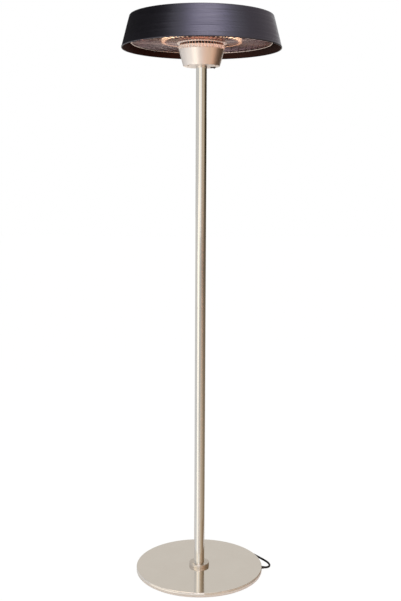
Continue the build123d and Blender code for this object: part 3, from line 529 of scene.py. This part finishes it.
# %% [markdown]
# ## The pole and its flange
# Two polished tubes butt over a hidden coupler, with a hairline between two tiny chamfers. The
# lower one is welded into a thick flange, and the weld is ground to a small round corner. Modelled
# apart, they would show a seam, so both are one turned piece, and the faces further out get the
# flange's finish.

# %% Pole finishes
# Stainless tube, ground and then buffed bright along its length. It gives the eye a mirror that
# draws the room into upright bands. The buffing marks, under 0.05 mm wide, are drawn 1.1 mm wide
# and 125 mm long.
pole_steel = polished("bright_polished_stainless_tube", "#e4e0d8", "#eeeae3",
                      (1.111, 1.111, 125), 0.09, 0.14, depth=0.002)
# Stainless bar, turned and left satin, less of a mirror than the spun cover. Its greyer tone is
# painted shade, standing in for the dark edge round the collar, so that the flange stands out from
# the cover. Its tool marks of 0.1 mm are drawn 1.1 mm wide.
flange_steel_painted_shade = polished("turned_stainless_painted_shade", "#cdc4b9", "#dad1c7", (1.111, 500, 1.111),
                        0.16, 0.26, depth=0.004, polar=True)

# %% Lower tube with its flange
POLE_WALL, HAIRLINE, WELD = 1.5, 0.4, 1
FLANGE_HEIGHT, CHAMFER = 12.0, 1.5
flange_low, flange_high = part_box("pole_lower")
upper_low, upper_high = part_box("pole_upper")
flange_radius, pole_foot = flange_high.x / MM, flange_low.z / MM
pole_radius, pole_joint, pole_top = upper_high.x / MM, upper_low.z / MM, upper_high.z / MM
flange_top = pole_foot + FLANGE_HEIGHT
pole_bore = pole_radius - POLE_WALL
lower_tube = turned("pole_lower_tube", 128, [
    (pole_bore, pole_foot), (flange_radius - 0.4, pole_foot), (flange_radius, pole_foot + 0.4),
    (flange_radius, flange_top - CHAMFER), (flange_radius - 0.2, flange_top - CHAMFER + 0.5),
    (flange_radius - CHAMFER, flange_top - 0.1), (flange_radius - CHAMFER - 0.4, flange_top),
    *rounded((pole_radius + WELD, flange_top + WELD), WELD, 270, 180),
    (pole_radius, pole_joint - HAIRLINE), (pole_radius - HAIRLINE, pole_joint),
    (pole_bore, pole_joint),
])
lower_tube.data.materials.append(pole_steel)
lower_tube.data.materials.append(flange_steel_painted_shade)
for face in lower_tube.data.polygons:
    if face.center.xy.length > (pole_radius + WELD) * MM:
        face.material_index = 1
place(lower_tube, None, replaces=["pole_lower"])

# %% Upper tube
upper_tube = turned("pole_upper_tube", 128, [
    (pole_bore, pole_joint), (pole_radius - HAIRLINE, pole_joint),
    (pole_radius, pole_joint + HAIRLINE), (pole_radius, pole_top - HAIRLINE),
    (pole_radius - HAIRLINE, pole_top), (pole_bore, pole_top),
])
place(upper_tube, pole_steel, replaces=["pole_upper"])

# %% [markdown]
# ## The control cup
# Drawn from one sheet: a flat underside with a round edge and the pole's hole, and a wall that
# leans out to meet the vent ring. A cone primitive would give the lean but no round edge and no
# sheet, so the cup is turned like the base.

# %% Control cup
# Stainless steel, deep drawn and then brushed round to a satin. It gives the eye a broad, soft
# sheen with no clear mirror image. The brushing marks of 0.1 mm are drawn 1.1 mm high.
cup_steel = polished("drawn_satin_stainless", "#f2e8e0", "#f8f0ea", (16.67, 333, 1.111),
                     0.38, 0.46, polar=True)
cup_low, cup_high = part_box("control_housing")
cup_foot, cup_top = cup_low.z / MM, cup_high.z / MM
CUP_FOOT_RADIUS, CUP_TOP_RADIUS, CUP_WALL, CUP_EDGE = 67.0, 83.0, 1.5, 2.6
EDGE_SHIFT = 0.35  # moves the round edge out until the wall leaves it without a kink
cup_hole = pole_radius + 0.3
wall_angle = math.degrees(math.atan((CUP_TOP_RADIUS - CUP_FOOT_RADIUS) / (cup_top - cup_foot)))
control_cup = turned("control_cup", 144, [
    (cup_hole, cup_foot), (CUP_FOOT_RADIUS - CUP_EDGE, cup_foot),
    *rounded((CUP_FOOT_RADIUS - CUP_EDGE + EDGE_SHIFT, cup_foot + CUP_EDGE), CUP_EDGE, -75,
             -wall_angle),
    (CUP_TOP_RADIUS, cup_top - 0.3), (CUP_TOP_RADIUS - 0.3, cup_top),
    (CUP_TOP_RADIUS - CUP_WALL, cup_top),
    (CUP_FOOT_RADIUS - CUP_WALL, cup_foot + CUP_WALL), (cup_hole, cup_foot + CUP_WALL),
])
place(control_cup, cup_steel, replaces=["control_housing"])

# %% [markdown]
# ## The rocker switch
# A nylon bezel sits in the cup's underside, and the rocker tips inside it. Their CAD form is
# right, so modelling them anew would gain nothing, and they are dressed. The rocker moves, so it
# rides on its own body.

# %% Rocker switch
place(dressed("switch_bezel", "switch_body", 0.5), black_plastic)
place(dressed("switch_rocker_cap", "switch_rocker", 0.3), black_plastic,
      body="rocker")

# %% [markdown]
# ## Pieces that repeat
# Ribs, posts and guard wires repeat round the pole. An Array modifier would turn them, but the
# copies would share one mesh. Here one piece is modelled, its place is moved into its mesh, and
# each copy gets a mesh of its own that is turned round the axis.

# %% Helpers that repeat a piece
def settle(piece):
    """Moves a piece's place, turn and scale into its mesh."""
    only(piece)
    bpy.ops.object.transform_apply(location=True, rotation=True, scale=True)
    return piece


def joined(name, pieces):
    """Several pieces as one mesh."""
    only(pieces[0])
    for piece in pieces[1:]:
        piece.select_set(True)
    bpy.ops.object.join()
    pieces[0].name = name
    return pieces[0]


def around(name, piece, count, start=0.0):
    """One piece copied to count places round the pole, with the first at start degrees."""
    copies = []
    for number in range(count):
        copy = piece.copy()
        copy.data = piece.data.copy()
        angle = math.radians(start + 360 * number / count)
        copy.data.transform(Matrix.Rotation(angle, 4, "Z"))
        bpy.context.collection.objects.link(copy)
        copies.append(copy)
    bpy.data.objects.remove(piece)
    return joined(name, copies)


def upright(name, inside, outside, width, foot, top, edge):
    """One upright bar on the +X side, from one radius to another, with its edges rounded."""
    deselect()
    middle = ((inside + outside) / 2 * MM, 0, (foot + top) / 2 * MM)
    bpy.ops.mesh.primitive_cube_add(size=MM, location=middle)
    bar = bpy.context.object
    bar.name = name
    bar.scale = (outside - inside, width, top - foot)
    return eased(settle(bar), edge)


RIBS = 44
print("ribs stand", round(2 * math.pi * CUP_TOP_RADIUS / RIBS, 1), "mm apart")

# %% [markdown]
# ## The vent ring
# A casting with a flange above, a fluted band below, and forty-four posts between them with open
# slots, where warm air leaves the cup. A Boolean could cut the slots. Building what is left is
# cleaner: flange and band are turned, and one rib and one post are copied round.

# %% Vent ring finishes
# Aluminium, die cast and tumbled to a pale satin. Its oxidised skin is set closer to a pale paint
# than to a mirror, and gives the eye even, light ribs. The 0.3 mm grain is drawn 3.3 mm wide.
vent_metal = polished("satin_die_cast_aluminium", "#fbf4f0", "#fffbf8", (3.333, 16.67, 3.333),
                      0.38, 0.5, metallic=0.1)
# The same casting on the posts between the slots, brown as painted shade, which makes the slots
# read deep. Its grain is drawn as wide.
vent_posts_painted_shade = polished("aluminium_painted_shade", "#a97f6c", "#bd9683", (3.333, 16.67, 3.333),
                       0.5, 0.62, metallic=0.1)

# %% Vent ring
RIB_WIDTH, RIB_EDGE = 5.0, 1.6
POST_WIDTH, POST_EDGE = 2.6, 0.3
VENT_INSIDE, VENT_OUTSIDE, VENT_FLANGE = 77.0, 79.2, 86.0  # radii
VENT_FLANGE_HEIGHT, SLOT_DROP, BITE = 5.5, 13.5, 0.2  # the posts bite into band and flange
vent_low, vent_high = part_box("vent_ring")
vent_foot, vent_top = vent_low.z / MM, vent_high.z / MM
slot_foot, slot_top = vent_top - SLOT_DROP, vent_top - VENT_FLANGE_HEIGHT
vent_flange = turned("vent_flange", 176, [
    (VENT_INSIDE, slot_top), (VENT_FLANGE - 0.6, slot_top), (VENT_FLANGE, slot_top + 0.6),
    (VENT_FLANGE, vent_top - 0.6), (VENT_FLANGE - 0.6, vent_top), (VENT_INSIDE, vent_top),
])
vent_band = turned("vent_band", 176, [
    (VENT_INSIDE, vent_foot), (VENT_OUTSIDE, vent_foot), (VENT_OUTSIDE, slot_foot),
    (VENT_INSIDE, slot_foot),
])
rib = upright("rib", VENT_INSIDE + 0.5, CUP_TOP_RADIUS, RIB_WIDTH, cup_top + 0.1,
              slot_foot + 0.6, RIB_EDGE)
post = upright("post", VENT_INSIDE, VENT_OUTSIDE, POST_WIDTH, slot_foot - BITE,
               slot_top + BITE, POST_EDGE)
ribs = around("ribs", rib, RIBS)
posts = around("posts", post, RIBS)
for piece in (vent_flange, ribs, vent_band):
    piece.data.materials.append(vent_metal)
# The posts get the painted shade.
posts.data.materials.append(vent_posts_painted_shade)
vent_ring = joined("vent_ring_casting", [vent_flange, vent_band, ribs, posts])
place(vent_ring, None, replaces=["vent_ring"])

# %% [markdown]
# ## The reflector
# A pan spun from bright aluminium throws the heat down, with a rolled lip outside and a flange
# inside that the vent ring hangs from. A squashed sphere would give neither, so it is turned
# through its real section.

# %% Reflector
# Aluminium, spun and polished bright. Its pinkish grey, darker than bright aluminium, is painted
# shade of the hollow under the hood and painted reflection of its warm surroundings. It gives the
# eye a mirror broken by turning marks. The marks, about 0.2 mm wide, are drawn 0.9 mm wide.
reflector_painted_shade = polished("spun_aluminium_painted_shade", "#84696e", "#9a8084", (0.909, 500, 5),
                           0.12, 0.24, polar=True, edge="#725c60")
PAN, PAN_SHEET, PAN_SLOPE, PAN_HUB, PAN_HOLE = 250.0, 1.0, 16.0, 92.0, 50.0
HUB_CORNER = 3
pan_low, pan_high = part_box("reflector")
pan_foot, pan_top = pan_low.z / MM, pan_high.z / MM
ceiling = pan_top - PAN_SHEET
shoulder = PAN - PAN_SLOPE  # radius where the ceiling turns down into the outer wall
reflector = turned("reflector_pan", 176, [
    (PAN_HOLE, pan_foot), (PAN_HUB, pan_foot), (PAN_HUB, pan_foot + 1.5),
    (PAN_HUB, ceiling - HUB_CORNER),
    *rounded((PAN_HUB + HUB_CORNER, ceiling - HUB_CORNER), HUB_CORNER, 180, 90),
    (shoulder - 60, ceiling), (shoulder - 6, ceiling - 0.6), (shoulder, ceiling - 3),
    (PAN - 6, pan_foot + 8), (PAN - 0.4, pan_foot + 0.4), (PAN + 0.4, pan_foot),
    (PAN + 1.1, pan_foot + 0.4), (PAN - 4.6, pan_foot + 9), (shoulder + 1.2, ceiling - 2.6),
    (shoulder - 5, pan_top), (PAN_HUB + 2, pan_top), (PAN_HUB - PAN_SHEET, pan_top - 2.5),
    (PAN_HUB - PAN_SHEET, pan_foot + PAN_SHEET), (PAN_HOLE, pan_foot + PAN_SHEET),
])
place(reflector, reflector_painted_shade, replaces=["reflector"])

# %% [markdown]
# ## The heating ring
# A quartz tube bent into a ring and coated gold, so that it glows less and heats more. A torus
# would close the ring, so a circle is spun about the pole's axis and left open at the back,
# between its ceramic ends.

# %% Heating ring
RING_RADIUS, TUBE_RADIUS = 140.0 * MM, 6.0 * MM
HALF_GAP = math.radians(5.6)
tube_start = math.pi / 2 + HALF_GAP
ring_low, ring_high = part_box("heating_ring")
tube_place = (
    RING_RADIUS * math.cos(tube_start), RING_RADIUS * math.sin(tube_start),
    (ring_low.z + ring_high.z) / 2,
)
deselect()
bpy.ops.mesh.primitive_circle_add(vertices=20, radius=TUBE_RADIUS, location=tube_place,
                                  rotation=(math.pi / 2, 0, tube_start))
heating_ring = settle(bpy.context.object)
heating_ring.name = "quartz_heating_ring"
edit_all()
bpy.ops.mesh.spin(steps=192, angle=2 * (HALF_GAP - math.pi), center=(0, 0, 0), axis=(0, 0, 1))
bpy.ops.mesh.select_all(action="SELECT")
bpy.ops.mesh.normals_make_consistent(inside=False)
bpy.ops.object.mode_set(mode="OBJECT")
smooth_shaded(heating_ring)
print("tube length", round(2 * (math.pi - HALF_GAP) * RING_RADIUS, 3), "m")

# %% [markdown]
# ## The glow of the ring
# Through the gold coating shows the wound filament, so the tube has fine bands across it. The
# turns could be modelled inside the tube, but they would be finer than a pixel. A wave texture
# across the angle draws them, and a weak emission makes the warm light that reflector and ribs
# pick up.

# %% Gold coated quartz
# Quartz glass, drawn, with a fired gold coating: it gives the eye a cream glow under a hard, clear
# gloss. A real winding has a turn each 2 to 4 mm; it is drawn at 7 mm so that it shows.
COIL_PITCH = 7.0 * MM
WAVE_PERIOD = 0.31415  # a wave texture of scale 1 repeats over this length
gold_quartz, tree, shader, where = new_finish("gold_coated_quartz")
turns_round = add_node(
    tree, "Mapping", {"Vector": polar_place(tree, where), "Scale": (0, RING_RADIUS / COIL_PITCH, 0)}
)
wave = {"Vector": turns_round.outputs["Vector"], "Scale": WAVE_PERIOD, "Distortion": 0.3}
turns = add_node(tree, "TexWave", wave, bands_direction="Y")
colours = {0: turns.outputs["Fac"], FIRST: linear("#b98a54"), SECOND: linear("#f4dcb4")}
bands = add_node(tree, "Mix", colours, data_type="RGBA")
tree.links.new(bands.outputs[2], shader.inputs["Base Color"])
settings = {"Roughness": 0.12, "Coat Weight": 0.6, "Coat Roughness": 0.06,
            "Emission Color": linear("#ffd0a8"), "Emission Strength": 2.2}
for name, value in settings.items():
    shader.inputs[name].default_value = value
place(heating_ring, gold_quartz, replaces=["heating_ring"])

# %% [markdown]
# ## Ceramics and clips
# The tube's ends sit in glazed ceramic blocks, and spring clips hold the tube and the guard. They
# are small and half hidden, so modelling them anew would gain nothing, and they are dressed.

# %% Ceramics and clips
# Steatite, pressed, glazed and fired: a cream white with a glassy gloss. The slow ripple of the
# glaze, 3 mm wide, has its real size.
ceramic = coated("glazed_steatite_ceramic", "#ddd7c8", "#ece7da", 3.333, 0.02, 0.12, 0.25)
# Spring steel strip, rolled and bent: grey, with a sheen along the strip. Rolling marks of 0.1 mm
# are drawn 1.4 mm wide.
spring_metal = polished("spring_steel_strip", "#a9a9ab", "#bcbcbd", (1.429, 16.67, 16.67),
                        0.22, 0.36)
place(dressed("ceramic_ends", "heater_ceramics", 0.8), ceramic)
place(dressed("tube_clips", "heater_clips", 0.25), spring_metal)
place(dressed("guard_clip_set", "guard_clips", 0.25), spring_metal)

# %% [markdown]
# ## The wire guard
# Two rings of round bar with forty-eight radial wires welded between them, all chrome plated.
# Curves with a bevel would do, but their ends stay open. So the rings are tori, and one closed
# wire is copied round, inside the square bars of the CAD.

# %% Wire guard finishes
# Chrome plated wire. Its patches of dull brown and pale glints, 14 mm long, are painted reflection:
# the wires mirror the ring here and the dark hood there. The die's marks, under 0.1 mm, are drawn
# 2.5 mm wide.
wire_chrome_painted_reflection = polished("chrome_wire_painted_reflection", "#806c70", "#ccbbb6", 2.5, 0.14, 0.24, patch=14)
# Chrome plated bar, thicker than the wire. Its pale peach is a painted highlight, the light of the
# rim, and gives the eye one bright line round the reflector. Its marks are drawn as wide.
ring_chrome_painted_highlight = polished("chrome_bar_painted_highlight", "#f0d6c8", "#fae6dc", 2.5, 0.2, 0.3, patch=30)

# %% Wire guard
WIRES, WIRE_RADIUS, BAR_RADIUS = 48, 1.3 * MM, 2.0 * MM
GUARD_OUTER, GUARD_INNER = 255.0 * MM, 89.0 * MM
guard_low, guard_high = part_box("wire_guard")
guard_height = (guard_low.z + guard_high.z) / 2
guard_rings = []
for radius in (GUARD_OUTER, GUARD_INNER):
    deselect()
    bpy.ops.mesh.primitive_torus_add(
        major_radius=radius, minor_radius=BAR_RADIUS, major_segments=192, minor_segments=12,
        location=(0, 0, guard_height),
    )
    guard_rings.append(settle(bpy.context.object))
deselect()
bpy.ops.mesh.primitive_cylinder_add(
    vertices=10, radius=WIRE_RADIUS, depth=GUARD_OUTER - GUARD_INNER,
    rotation=(0, math.pi / 2, 0), location=((GUARD_OUTER + GUARD_INNER) / 2, 0, guard_height),
)
wires = around("wires", settle(bpy.context.object), WIRES, 180 / WIRES)
wires.data.materials.append(wire_chrome_painted_reflection)
for ring in guard_rings:
    ring.data.materials.append(ring_chrome_painted_highlight)
guard = smooth_shaded(joined("wire_guard_welded", [*guard_rings, wires]))
place(guard, None, replaces=["wire_guard"])

# %% [markdown]
# ## The hood
# One spun sheet, black outside and reddish brown inside, where the heater's warm glow is painted
# on: a leaning wall with a rolled hem, rounded over to a flat top. A Solidify modifier would give
# the sheet but no hem. So the rings go up the outside and down the inside, and a face gets the
# painted glow if it looks inwards or down and lies above the hem.

# %% Hood finishes
# Steel sheet, spun, powder coated satin black and baked: it gives the eye a soft violet grey sheen
# with streaks round the wall, as broad as the spinning roller's path, 12 mm. Their relief is
# deeper than real, so that the thin coat shows them.
hood_paint = coated("satin_black_powder_coat", "#0c0b0d", "#131215", (33.33, 2500, 12.5),
                    3.8, 0.26, 0.42, polar=True, sheen="#dfdcf2", gloss=0.95)
# The same black coat inside, with the heater's warm glow painted on as a reddish brown and a warm
# tint on its gloss: dull, with little gloss. The roller's marks are 6 mm broad there, which is
# their real size.
hood_inside_painted_glow = coated("black_enamel_painted_warm_glow", "#1d0b08", "#2a120d", (33.33, 500, 6.25),
                     0.05, 0.5, 0.62, polar=True, sheen="#b08878")

# %% Hood
RIM_RADIUS, CROWN_RADIUS, HOOD_SHEET, CROWN_EDGE = 291.0, 261.0, 1.2, 3.0
HOOD_HOLE, HEM_HEIGHT = 20, 2
hood_low, hood_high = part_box("hood_shell")
rim, crown = hood_low.z / MM, hood_high.z / MM
hood = turned("hood_spun", 192, [
    (HOOD_HOLE, crown), (CROWN_RADIUS - 30, crown), (CROWN_RADIUS - CROWN_EDGE - 1, crown),
    *rounded((CROWN_RADIUS - CROWN_EDGE + 0.4, crown - CROWN_EDGE), CROWN_EDGE, 80, 15),
    *from_point(CROWN_RADIUS, crown, (7.5, -28), (15, -56.5), (22.5, -85)),
    *from_point(RIM_RADIUS, rim, (-2.0, 7.5), (-1.3, 6.4), (-0.5, 4.8), (0, 2.4), (-0.2, 1.0),
                (-0.9, 0), (-2.2, 0), (-2.9, 0.9), (-3.1, 5)),
    (CROWN_RADIUS + 15 - HOOD_SHEET, crown - 56.5), (CROWN_RADIUS - HOOD_SHEET, crown - 4),
    (CROWN_RADIUS - 6, crown - HOOD_SHEET), (HOOD_HOLE, crown - HOOD_SHEET),
], ends="closed")
hood.data.materials.append(hood_paint)
hood.data.materials.append(hood_inside_painted_glow)
# Faces inside above the hem get the painted glow.
for face in hood.data.polygons:
    outwards = Vector((face.center.x, face.center.y, 0)).normalized()
    inside = face.normal.dot(outwards) < -0.5 or face.normal.z < -0.5
    face.material_index = 1 if inside and face.center.z > (rim + HEM_HEIGHT) * MM else 0
place(hood, None, replaces=["hood_shell"])

# %% [markdown]
# ## Screws, feet and strain relief
# These are bought parts with plain forms. A cylinder each would do for a screw, but the CAD heads
# have six sides, and an eased edge is all the eye can tell at their size.

# %% Screws, feet and strain relief
# Stainless screws, cold headed and tumbled: small bright points. Tumbling marks of 0.1 mm are
# drawn 2 mm wide.
screw_metal = polished("stainless_screw", "#c9c4be", "#d8d3cc", 2, 0.24, 0.36)
for held in ("hood", "reflector", "housing"):
    place(dressed(held + "_screw_set", held + "_screws", 0.5), screw_metal)
place(dressed("foot_pads", "rubber_feet", 1.2, 3), black_rubber)
place(dressed("cord_strain_relief", "strain_relief", 0.5), black_rubber)

# %% [markdown]
# ## The hidden structure
# Ballast, carrier, plates and the electrical parts show at most through a gap, and their CAD nodes
# stay as they are. Plain grey would do for a picture. Each still gets the finish of the real one,
# for a cutaway or a view from below.

# %% Finishes of the hidden structure
# Steel sheet, stamped and zinc plated: a cool grey with the cloudy spangle of the plating, 4 mm.
zinc_metal = polished("zinc_plated_steel", "#9a9ca0", "#b2b4b6", 4, 0.30, 0.45)
# Iron, cast in sand and painted: near black and lumpy, with the sand mould's 3 mm clumps.
cast_iron = coated("painted_cast_iron", "#262628", "#303033", 2.857, 0.25, 0.5, 0.7)
# Nylon, moulded undyed: a milky white, a little glossy. Its 0.2 mm grain is drawn 1.25 mm wide.
white_plastic = coated("natural_white_nylon", "#d8d5cb", "#e4e1d8", 1.25, 0.02, 0.35, 0.45)
# Glass fibre, braided into a sleeve: dull off-white, with the 1.1 mm relief of its braid.
lead_sleeve = coated("glass_fibre_sleeve", "#c9c5b8", "#dbd7ca", 1.111, 0.05, 0.6, 0.75)
# Steel, turned and blackened in a salt bath: a deep black that shines a little, as oil does. Its
# tool marks of 0.1 mm are drawn 2 mm wide.
black_oxide = coated("black_oxide_steel", "#1a1a1c", "#232326", 2, 0.02, 0.3, 0.42)

hidden = {
    "base_weight": cast_iron, "mains_cable_inner": cord_rubber, "terminal_block": white_plastic,
    "tip_over_switch": black_plastic, "thermal_cutout": black_plastic,
    "heater_leads": lead_sleeve, "hub_grub_screw": black_oxide,
}
for name in ("base_bolts", "cable_straps", "pole_coupler", "chassis_plate", "housing_pillars",
             "reflector_spacers", "head_carrier", "hood_posts"):
    hidden[name] = zinc_metal
for name, material in hidden.items():
    nodes[name].data.materials.clear()
    nodes[name].data.materials.append(material)
print("hidden CAD nodes finished", len(hidden))

# %% [markdown]
# ## The floor
# The picture has a white ground without a horizon. More light would bleach the heater, so the
# paper keeps a plain pale colour, and only camera rays, and a little of the mirrored ones, see it
# glow white. A share of its own shading stays in, and so the heater's shadow stays.

# %% Floor
FLOOR_GLOW, GLOW_SHARE, MIRRORED_SHARE = 1.08, 0.88, 0.15
deselect()
bpy.ops.mesh.primitive_plane_add(size=40)
floor = bpy.context.object
floor.name = "studio_floor"
floor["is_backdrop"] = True
# Uncoated paper off a wide roll: matt and even, it gives the eye nothing to rest on.
paper = bpy.data.materials.new("white_studio_paper")
paper.use_nodes = True
tree = paper.node_tree
shader = tree.nodes["Principled BSDF"]
shader.inputs["Base Color"].default_value = linear("#e6e5e3")
shader.inputs["Roughness"].default_value = 0.9
glow = add_node(tree, "Emission", {"Color": (1, 1, 1, 1), "Strength": FLOOR_GLOW})
path = add_node(tree, "LightPath", {})
mirrored = add_node(
    tree, "Math", {0: path.outputs["Is Glossy Ray"], 1: MIRRORED_SHARE}, operation="MULTIPLY"
)
seen = add_node(
    tree, "Math", {0: path.outputs["Is Camera Ray"], 1: mirrored.outputs["Value"]},
    operation="MAXIMUM",
)
share = add_node(
    tree, "MapRange", {"Value": seen.outputs["Value"], "To Min": 0.0, "To Max": GLOW_SHARE}
)
shades = {0: share.outputs["Result"], 1: shader.outputs["BSDF"], 2: glow.outputs["Emission"]}
mixed = add_node(tree, "MixShader", shades)
tree.links.new(mixed.outputs["Shader"], tree.nodes["Material Output"].inputs["Surface"])
floor.data.materials.append(paper)
print("floor", floor.name)

# %% [markdown]
# ## The world
# A studio is white all round. A photograph of one could light the scene, but a plain white world
# does the same here. Camera, mirror and glass see it at full strength, which is the white
# background, and it lights the heater at half of that, so that the lamps still shape it.

# %% World
AMBIENT, BACKGROUND = 0.5, 1.0
world = bpy.data.worlds.new("studio")
bpy.context.scene.world = world
world.use_nodes = True
tree = world.node_tree
sky = tree.nodes["Background"]
sky.inputs["Color"].default_value = (1, 1, 1, 1)
path = add_node(tree, "LightPath", {})
direct = add_node(
    tree, "Math", {0: path.outputs["Is Camera Ray"], 1: path.outputs["Is Glossy Ray"]},
    operation="MAXIMUM",
)
seen = add_node(
    tree, "Math", {0: direct.outputs["Value"], 1: path.outputs["Is Transmission Ray"]},
    operation="MAXIMUM",
)
level = add_node(
    tree, "MapRange", {"Value": seen.outputs["Value"], "To Min": AMBIENT, "To Max": BACKGROUND}
)
tree.links.new(level.outputs["Result"], sky.inputs["Strength"])
print("ambient light", AMBIENT)

# %% [markdown]
# ## The lamps
# Three soft boxes: one high in front, one low at the left that reaches under the hood, and a warm
# one low at the right that tints cup and reflector. Point lamps would throw hard shadows; square
# area lamps make soft ones.

# %% Lamps
def soft_lamp(name, stand_at, aim, size, power, colour):
    """A square area lamp that looks at a point."""
    bpy.ops.object.light_add(type="AREA", location=stand_at)
    lamp = bpy.context.object
    lamp.name = name
    lamp.data.size = size
    lamp.data.energy = power
    lamp.data.color = linear(colour)[:3]
    look = Vector(aim) - Vector(stand_at)
    lamp.rotation_euler = look.to_track_quat("-Z", "Y").to_euler()
    return lamp


lamps = [
    soft_lamp("key_lamp", (0.35, -2.2, 3.75), (0, 0, 1.9), 1.6, 22, "#fffaf4"),
    soft_lamp("left_lamp", (-2.1, -1.45, 0.7), (0, 0, 1.9), 1.5, 27, "#fffaf2"),
    soft_lamp("warm_lamp", (1.6, -1.75, 0.8), (0, 0, 1.95), 1.2, 24, "#ffb090"),
]
print("lamps", len(lamps))

# %% [markdown]
# ## Cards for the metal to reflect
# Polished metal shows what stands round it, and a studio puts up cards just outside the picture
# for it to mirror. Lamps would light the rest too. A card here is an upright plane that glows with
# its own colour and is seen only in reflections, so it lights nothing and throws no shadow. Its
# colour may fade from foot to top.

# %% One card
def card(name, ends, foot, top, colour, strength=1.0, top_ends=None, top_colour=None):
    """An upright card over two points of the floor plan, which only reflections see."""
    deselect()
    bpy.ops.mesh.primitive_plane_add(size=1)
    sheet = bpy.context.object
    sheet.name = name
    corners = [(*end, foot) for end in ends] + [(*end, top) for end in top_ends or ends]
    for vertex, corner in zip(sheet.data.vertices, corners):
        vertex.co = corner
    finish, tree, shader, where = new_finish(name)
    height = add_node(tree, "SeparateXYZ", {"Vector": where}).outputs["Z"]
    share = add_node(tree, "MapRange", {"Value": height, "From Min": foot, "From Max": top})
    colours = {0: share.outputs["Result"], FIRST: linear(colour),
               SECOND: linear(top_colour or colour)}
    fade = add_node(tree, "Mix", colours, data_type="RGBA")
    glow = add_node(tree, "Emission", {"Color": fade.outputs[2], "Strength": strength})
    tree.links.new(glow.outputs["Emission"], tree.nodes["Material Output"].inputs["Surface"])
    sheet.data.materials.append(finish)
    for ray in ("camera", "diffuse", "shadow", "transmission"):
        setattr(sheet, "visible_" + ray, False)
    sheet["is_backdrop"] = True
    return sheet


def plan(azimuth, distance):
    """A point of the floor plan, by its angle from the front and its distance from the pole."""
    angle = math.radians(azimuth)
    return distance * math.sin(angle), -distance * math.cos(angle)


print("a card 45 degrees to the right stands at", [round(v, 2) for v in plan(45, 0.45)])

# %% [markdown]
# ## The near cards
# They stand close round the pole and give it its upright bands: pale grey at the left, a white
# strip, a gap that shows the bright room, beige at the right, dark brown at its edge. The bands
# change on the way up, so each row of the table is a height with its colours, and the cards
# between two rows fade from one to the other. They end under the hood, which else mirrors them.

# %% Near cards
NEAR, SIDE, BEHIND = 0.45, 0.6, 1.0  # distances from the pole, in metres
WHITE_STRIP = 2  # the card that glows stronger than the others


def band_ends(outer, inner):
    """The floor plan of six near cards, left to right; the outer two swing away behind the pole."""
    middle = [(outer, inner), (7, 33), (33, 60), (60, 80)]
    ends = [[plan(azimuth, NEAR) for azimuth in pair] for pair in middle]
    return [[plan(-145, BEHIND), plan(outer, SIDE)], *ends, [plan(80, NEAR), plan(145, BEHIND)]]


# height, the two edges of the white strip, and the colours of the bands from left to right
BANDS = [
    (0.00, -60, -26, "#d6d8dc", "#f6f3ed", "#d2c4b4", "#bdab97", "#ab9a85", "#93836f"),
    (0.55, -60, -28, "#d4d6da", "#fffcf6", "#d0c3b4", "#ada08e", "#998b78", "#837563"),
    (1.15, -68, -24, "#d2d3d4", "#fffaf0", "#b3a59b", "#8a7d6f", "#6e6256", "#6a5f50"),
    (1.65, -47, -22, "#d2d3d4", "#fffaf0", "#c3b4a4", "#c2b6a2", "#8f8270", "#2e2719"),
    (2.03, -47, -22, "#d2d3d4", "#fffaf0", "#c3b4a4", "#c2b6a2", "#8f8270", "#2e2719"),
]
near_cards = []
for row, (low, high) in enumerate(zip(BANDS, BANDS[1:]), 1):
    plans = zip(band_ends(*low[1:3]), band_ends(*high[1:3]), low[3:], high[3:])
    for number, (ends, top_ends, colour, top_colour) in enumerate(plans, 1):
        near_cards.append(card(
            f"near_card_{row}_{number}", ends, low[0], high[0], colour,
            strength=1.3 if number == WHITE_STRIP else 1.0,
            top_ends=top_ends, top_colour=top_colour,
        ))
print("near cards", len(near_cards))

# %% [markdown]
# ## The low and the far cards
# The foot of the pole mirrors the white floor, and five low cards hide it. The far ones shape
# the rest: a backdrop for the base's top, a window for the cup, a bright card high in front for
# the sheen on the hood, dark ones that keep its left end black, and a grey one for its right end.

# %% Low and far cards
LOW_DISTANCE, LOW_TOP = 0.305, 0.14
LOW_CARDS = [
    (-100, -60, "#dcdee2"), (-60, -24, "#fffcf6"), (7, 33, "#d2c4b4"), (33, 60, "#b5a18a"),
    (60, 100, "#8f7b66"),
]
for number, (left, right, colour) in enumerate(LOW_CARDS, 1):
    card(f"low_card_{number}", [plan(left, LOW_DISTANCE), plan(right, LOW_DISTANCE)],
         0.0, LOW_TOP, colour, strength=1.15 if number == WHITE_STRIP else 1.0)
far_cards = [
    card("backdrop_card", [(-2.0, 2.2), (2.0, 2.2)], 0.4, 1.9, "#d2cfca"),
    card("window_card", [(-0.30, 2.1), (-0.08, 2.1)], 1.5, 1.9, "#fff0e0", 2.2),
    card("bright_card_high_front", [(-1.05, -2.4), (2.35, -2.4)], 3.0, 4.9, "#eeeaff", 3.3),
    card("dark_card_high_left", [(-1.20, -1.10), (-1.20, 1.60)], 1.3, 4.8, "#3a3a3c"),
    card("dark_card_low_back", [(-1.20, 1.60), (-0.62, 1.60)], 1.3, 2.2, "#3a3a3c"),
    card("dark_card_high_back", [(-1.20, 1.60), (-0.10, 1.60)], 2.2, 4.8, "#343436"),
    card("grey_card_high_right", [(1.20, -0.60), (1.20, 1.60)], 2.2, 4.8, "#bfb7bb"),
]
print("low cards", len(LOW_CARDS), "far cards", len(far_cards))

# %% [markdown]
# ## Finish
# The display keeps its plain settings, so that a colour shows as it is written. The box of all
# that renders is printed.

# %% Finish
bpy.context.scene.view_settings.view_transform = "Standard"
low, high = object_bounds()
print("visual box", [round(v, 4) for v in low], [round(v, 4) for v in high])
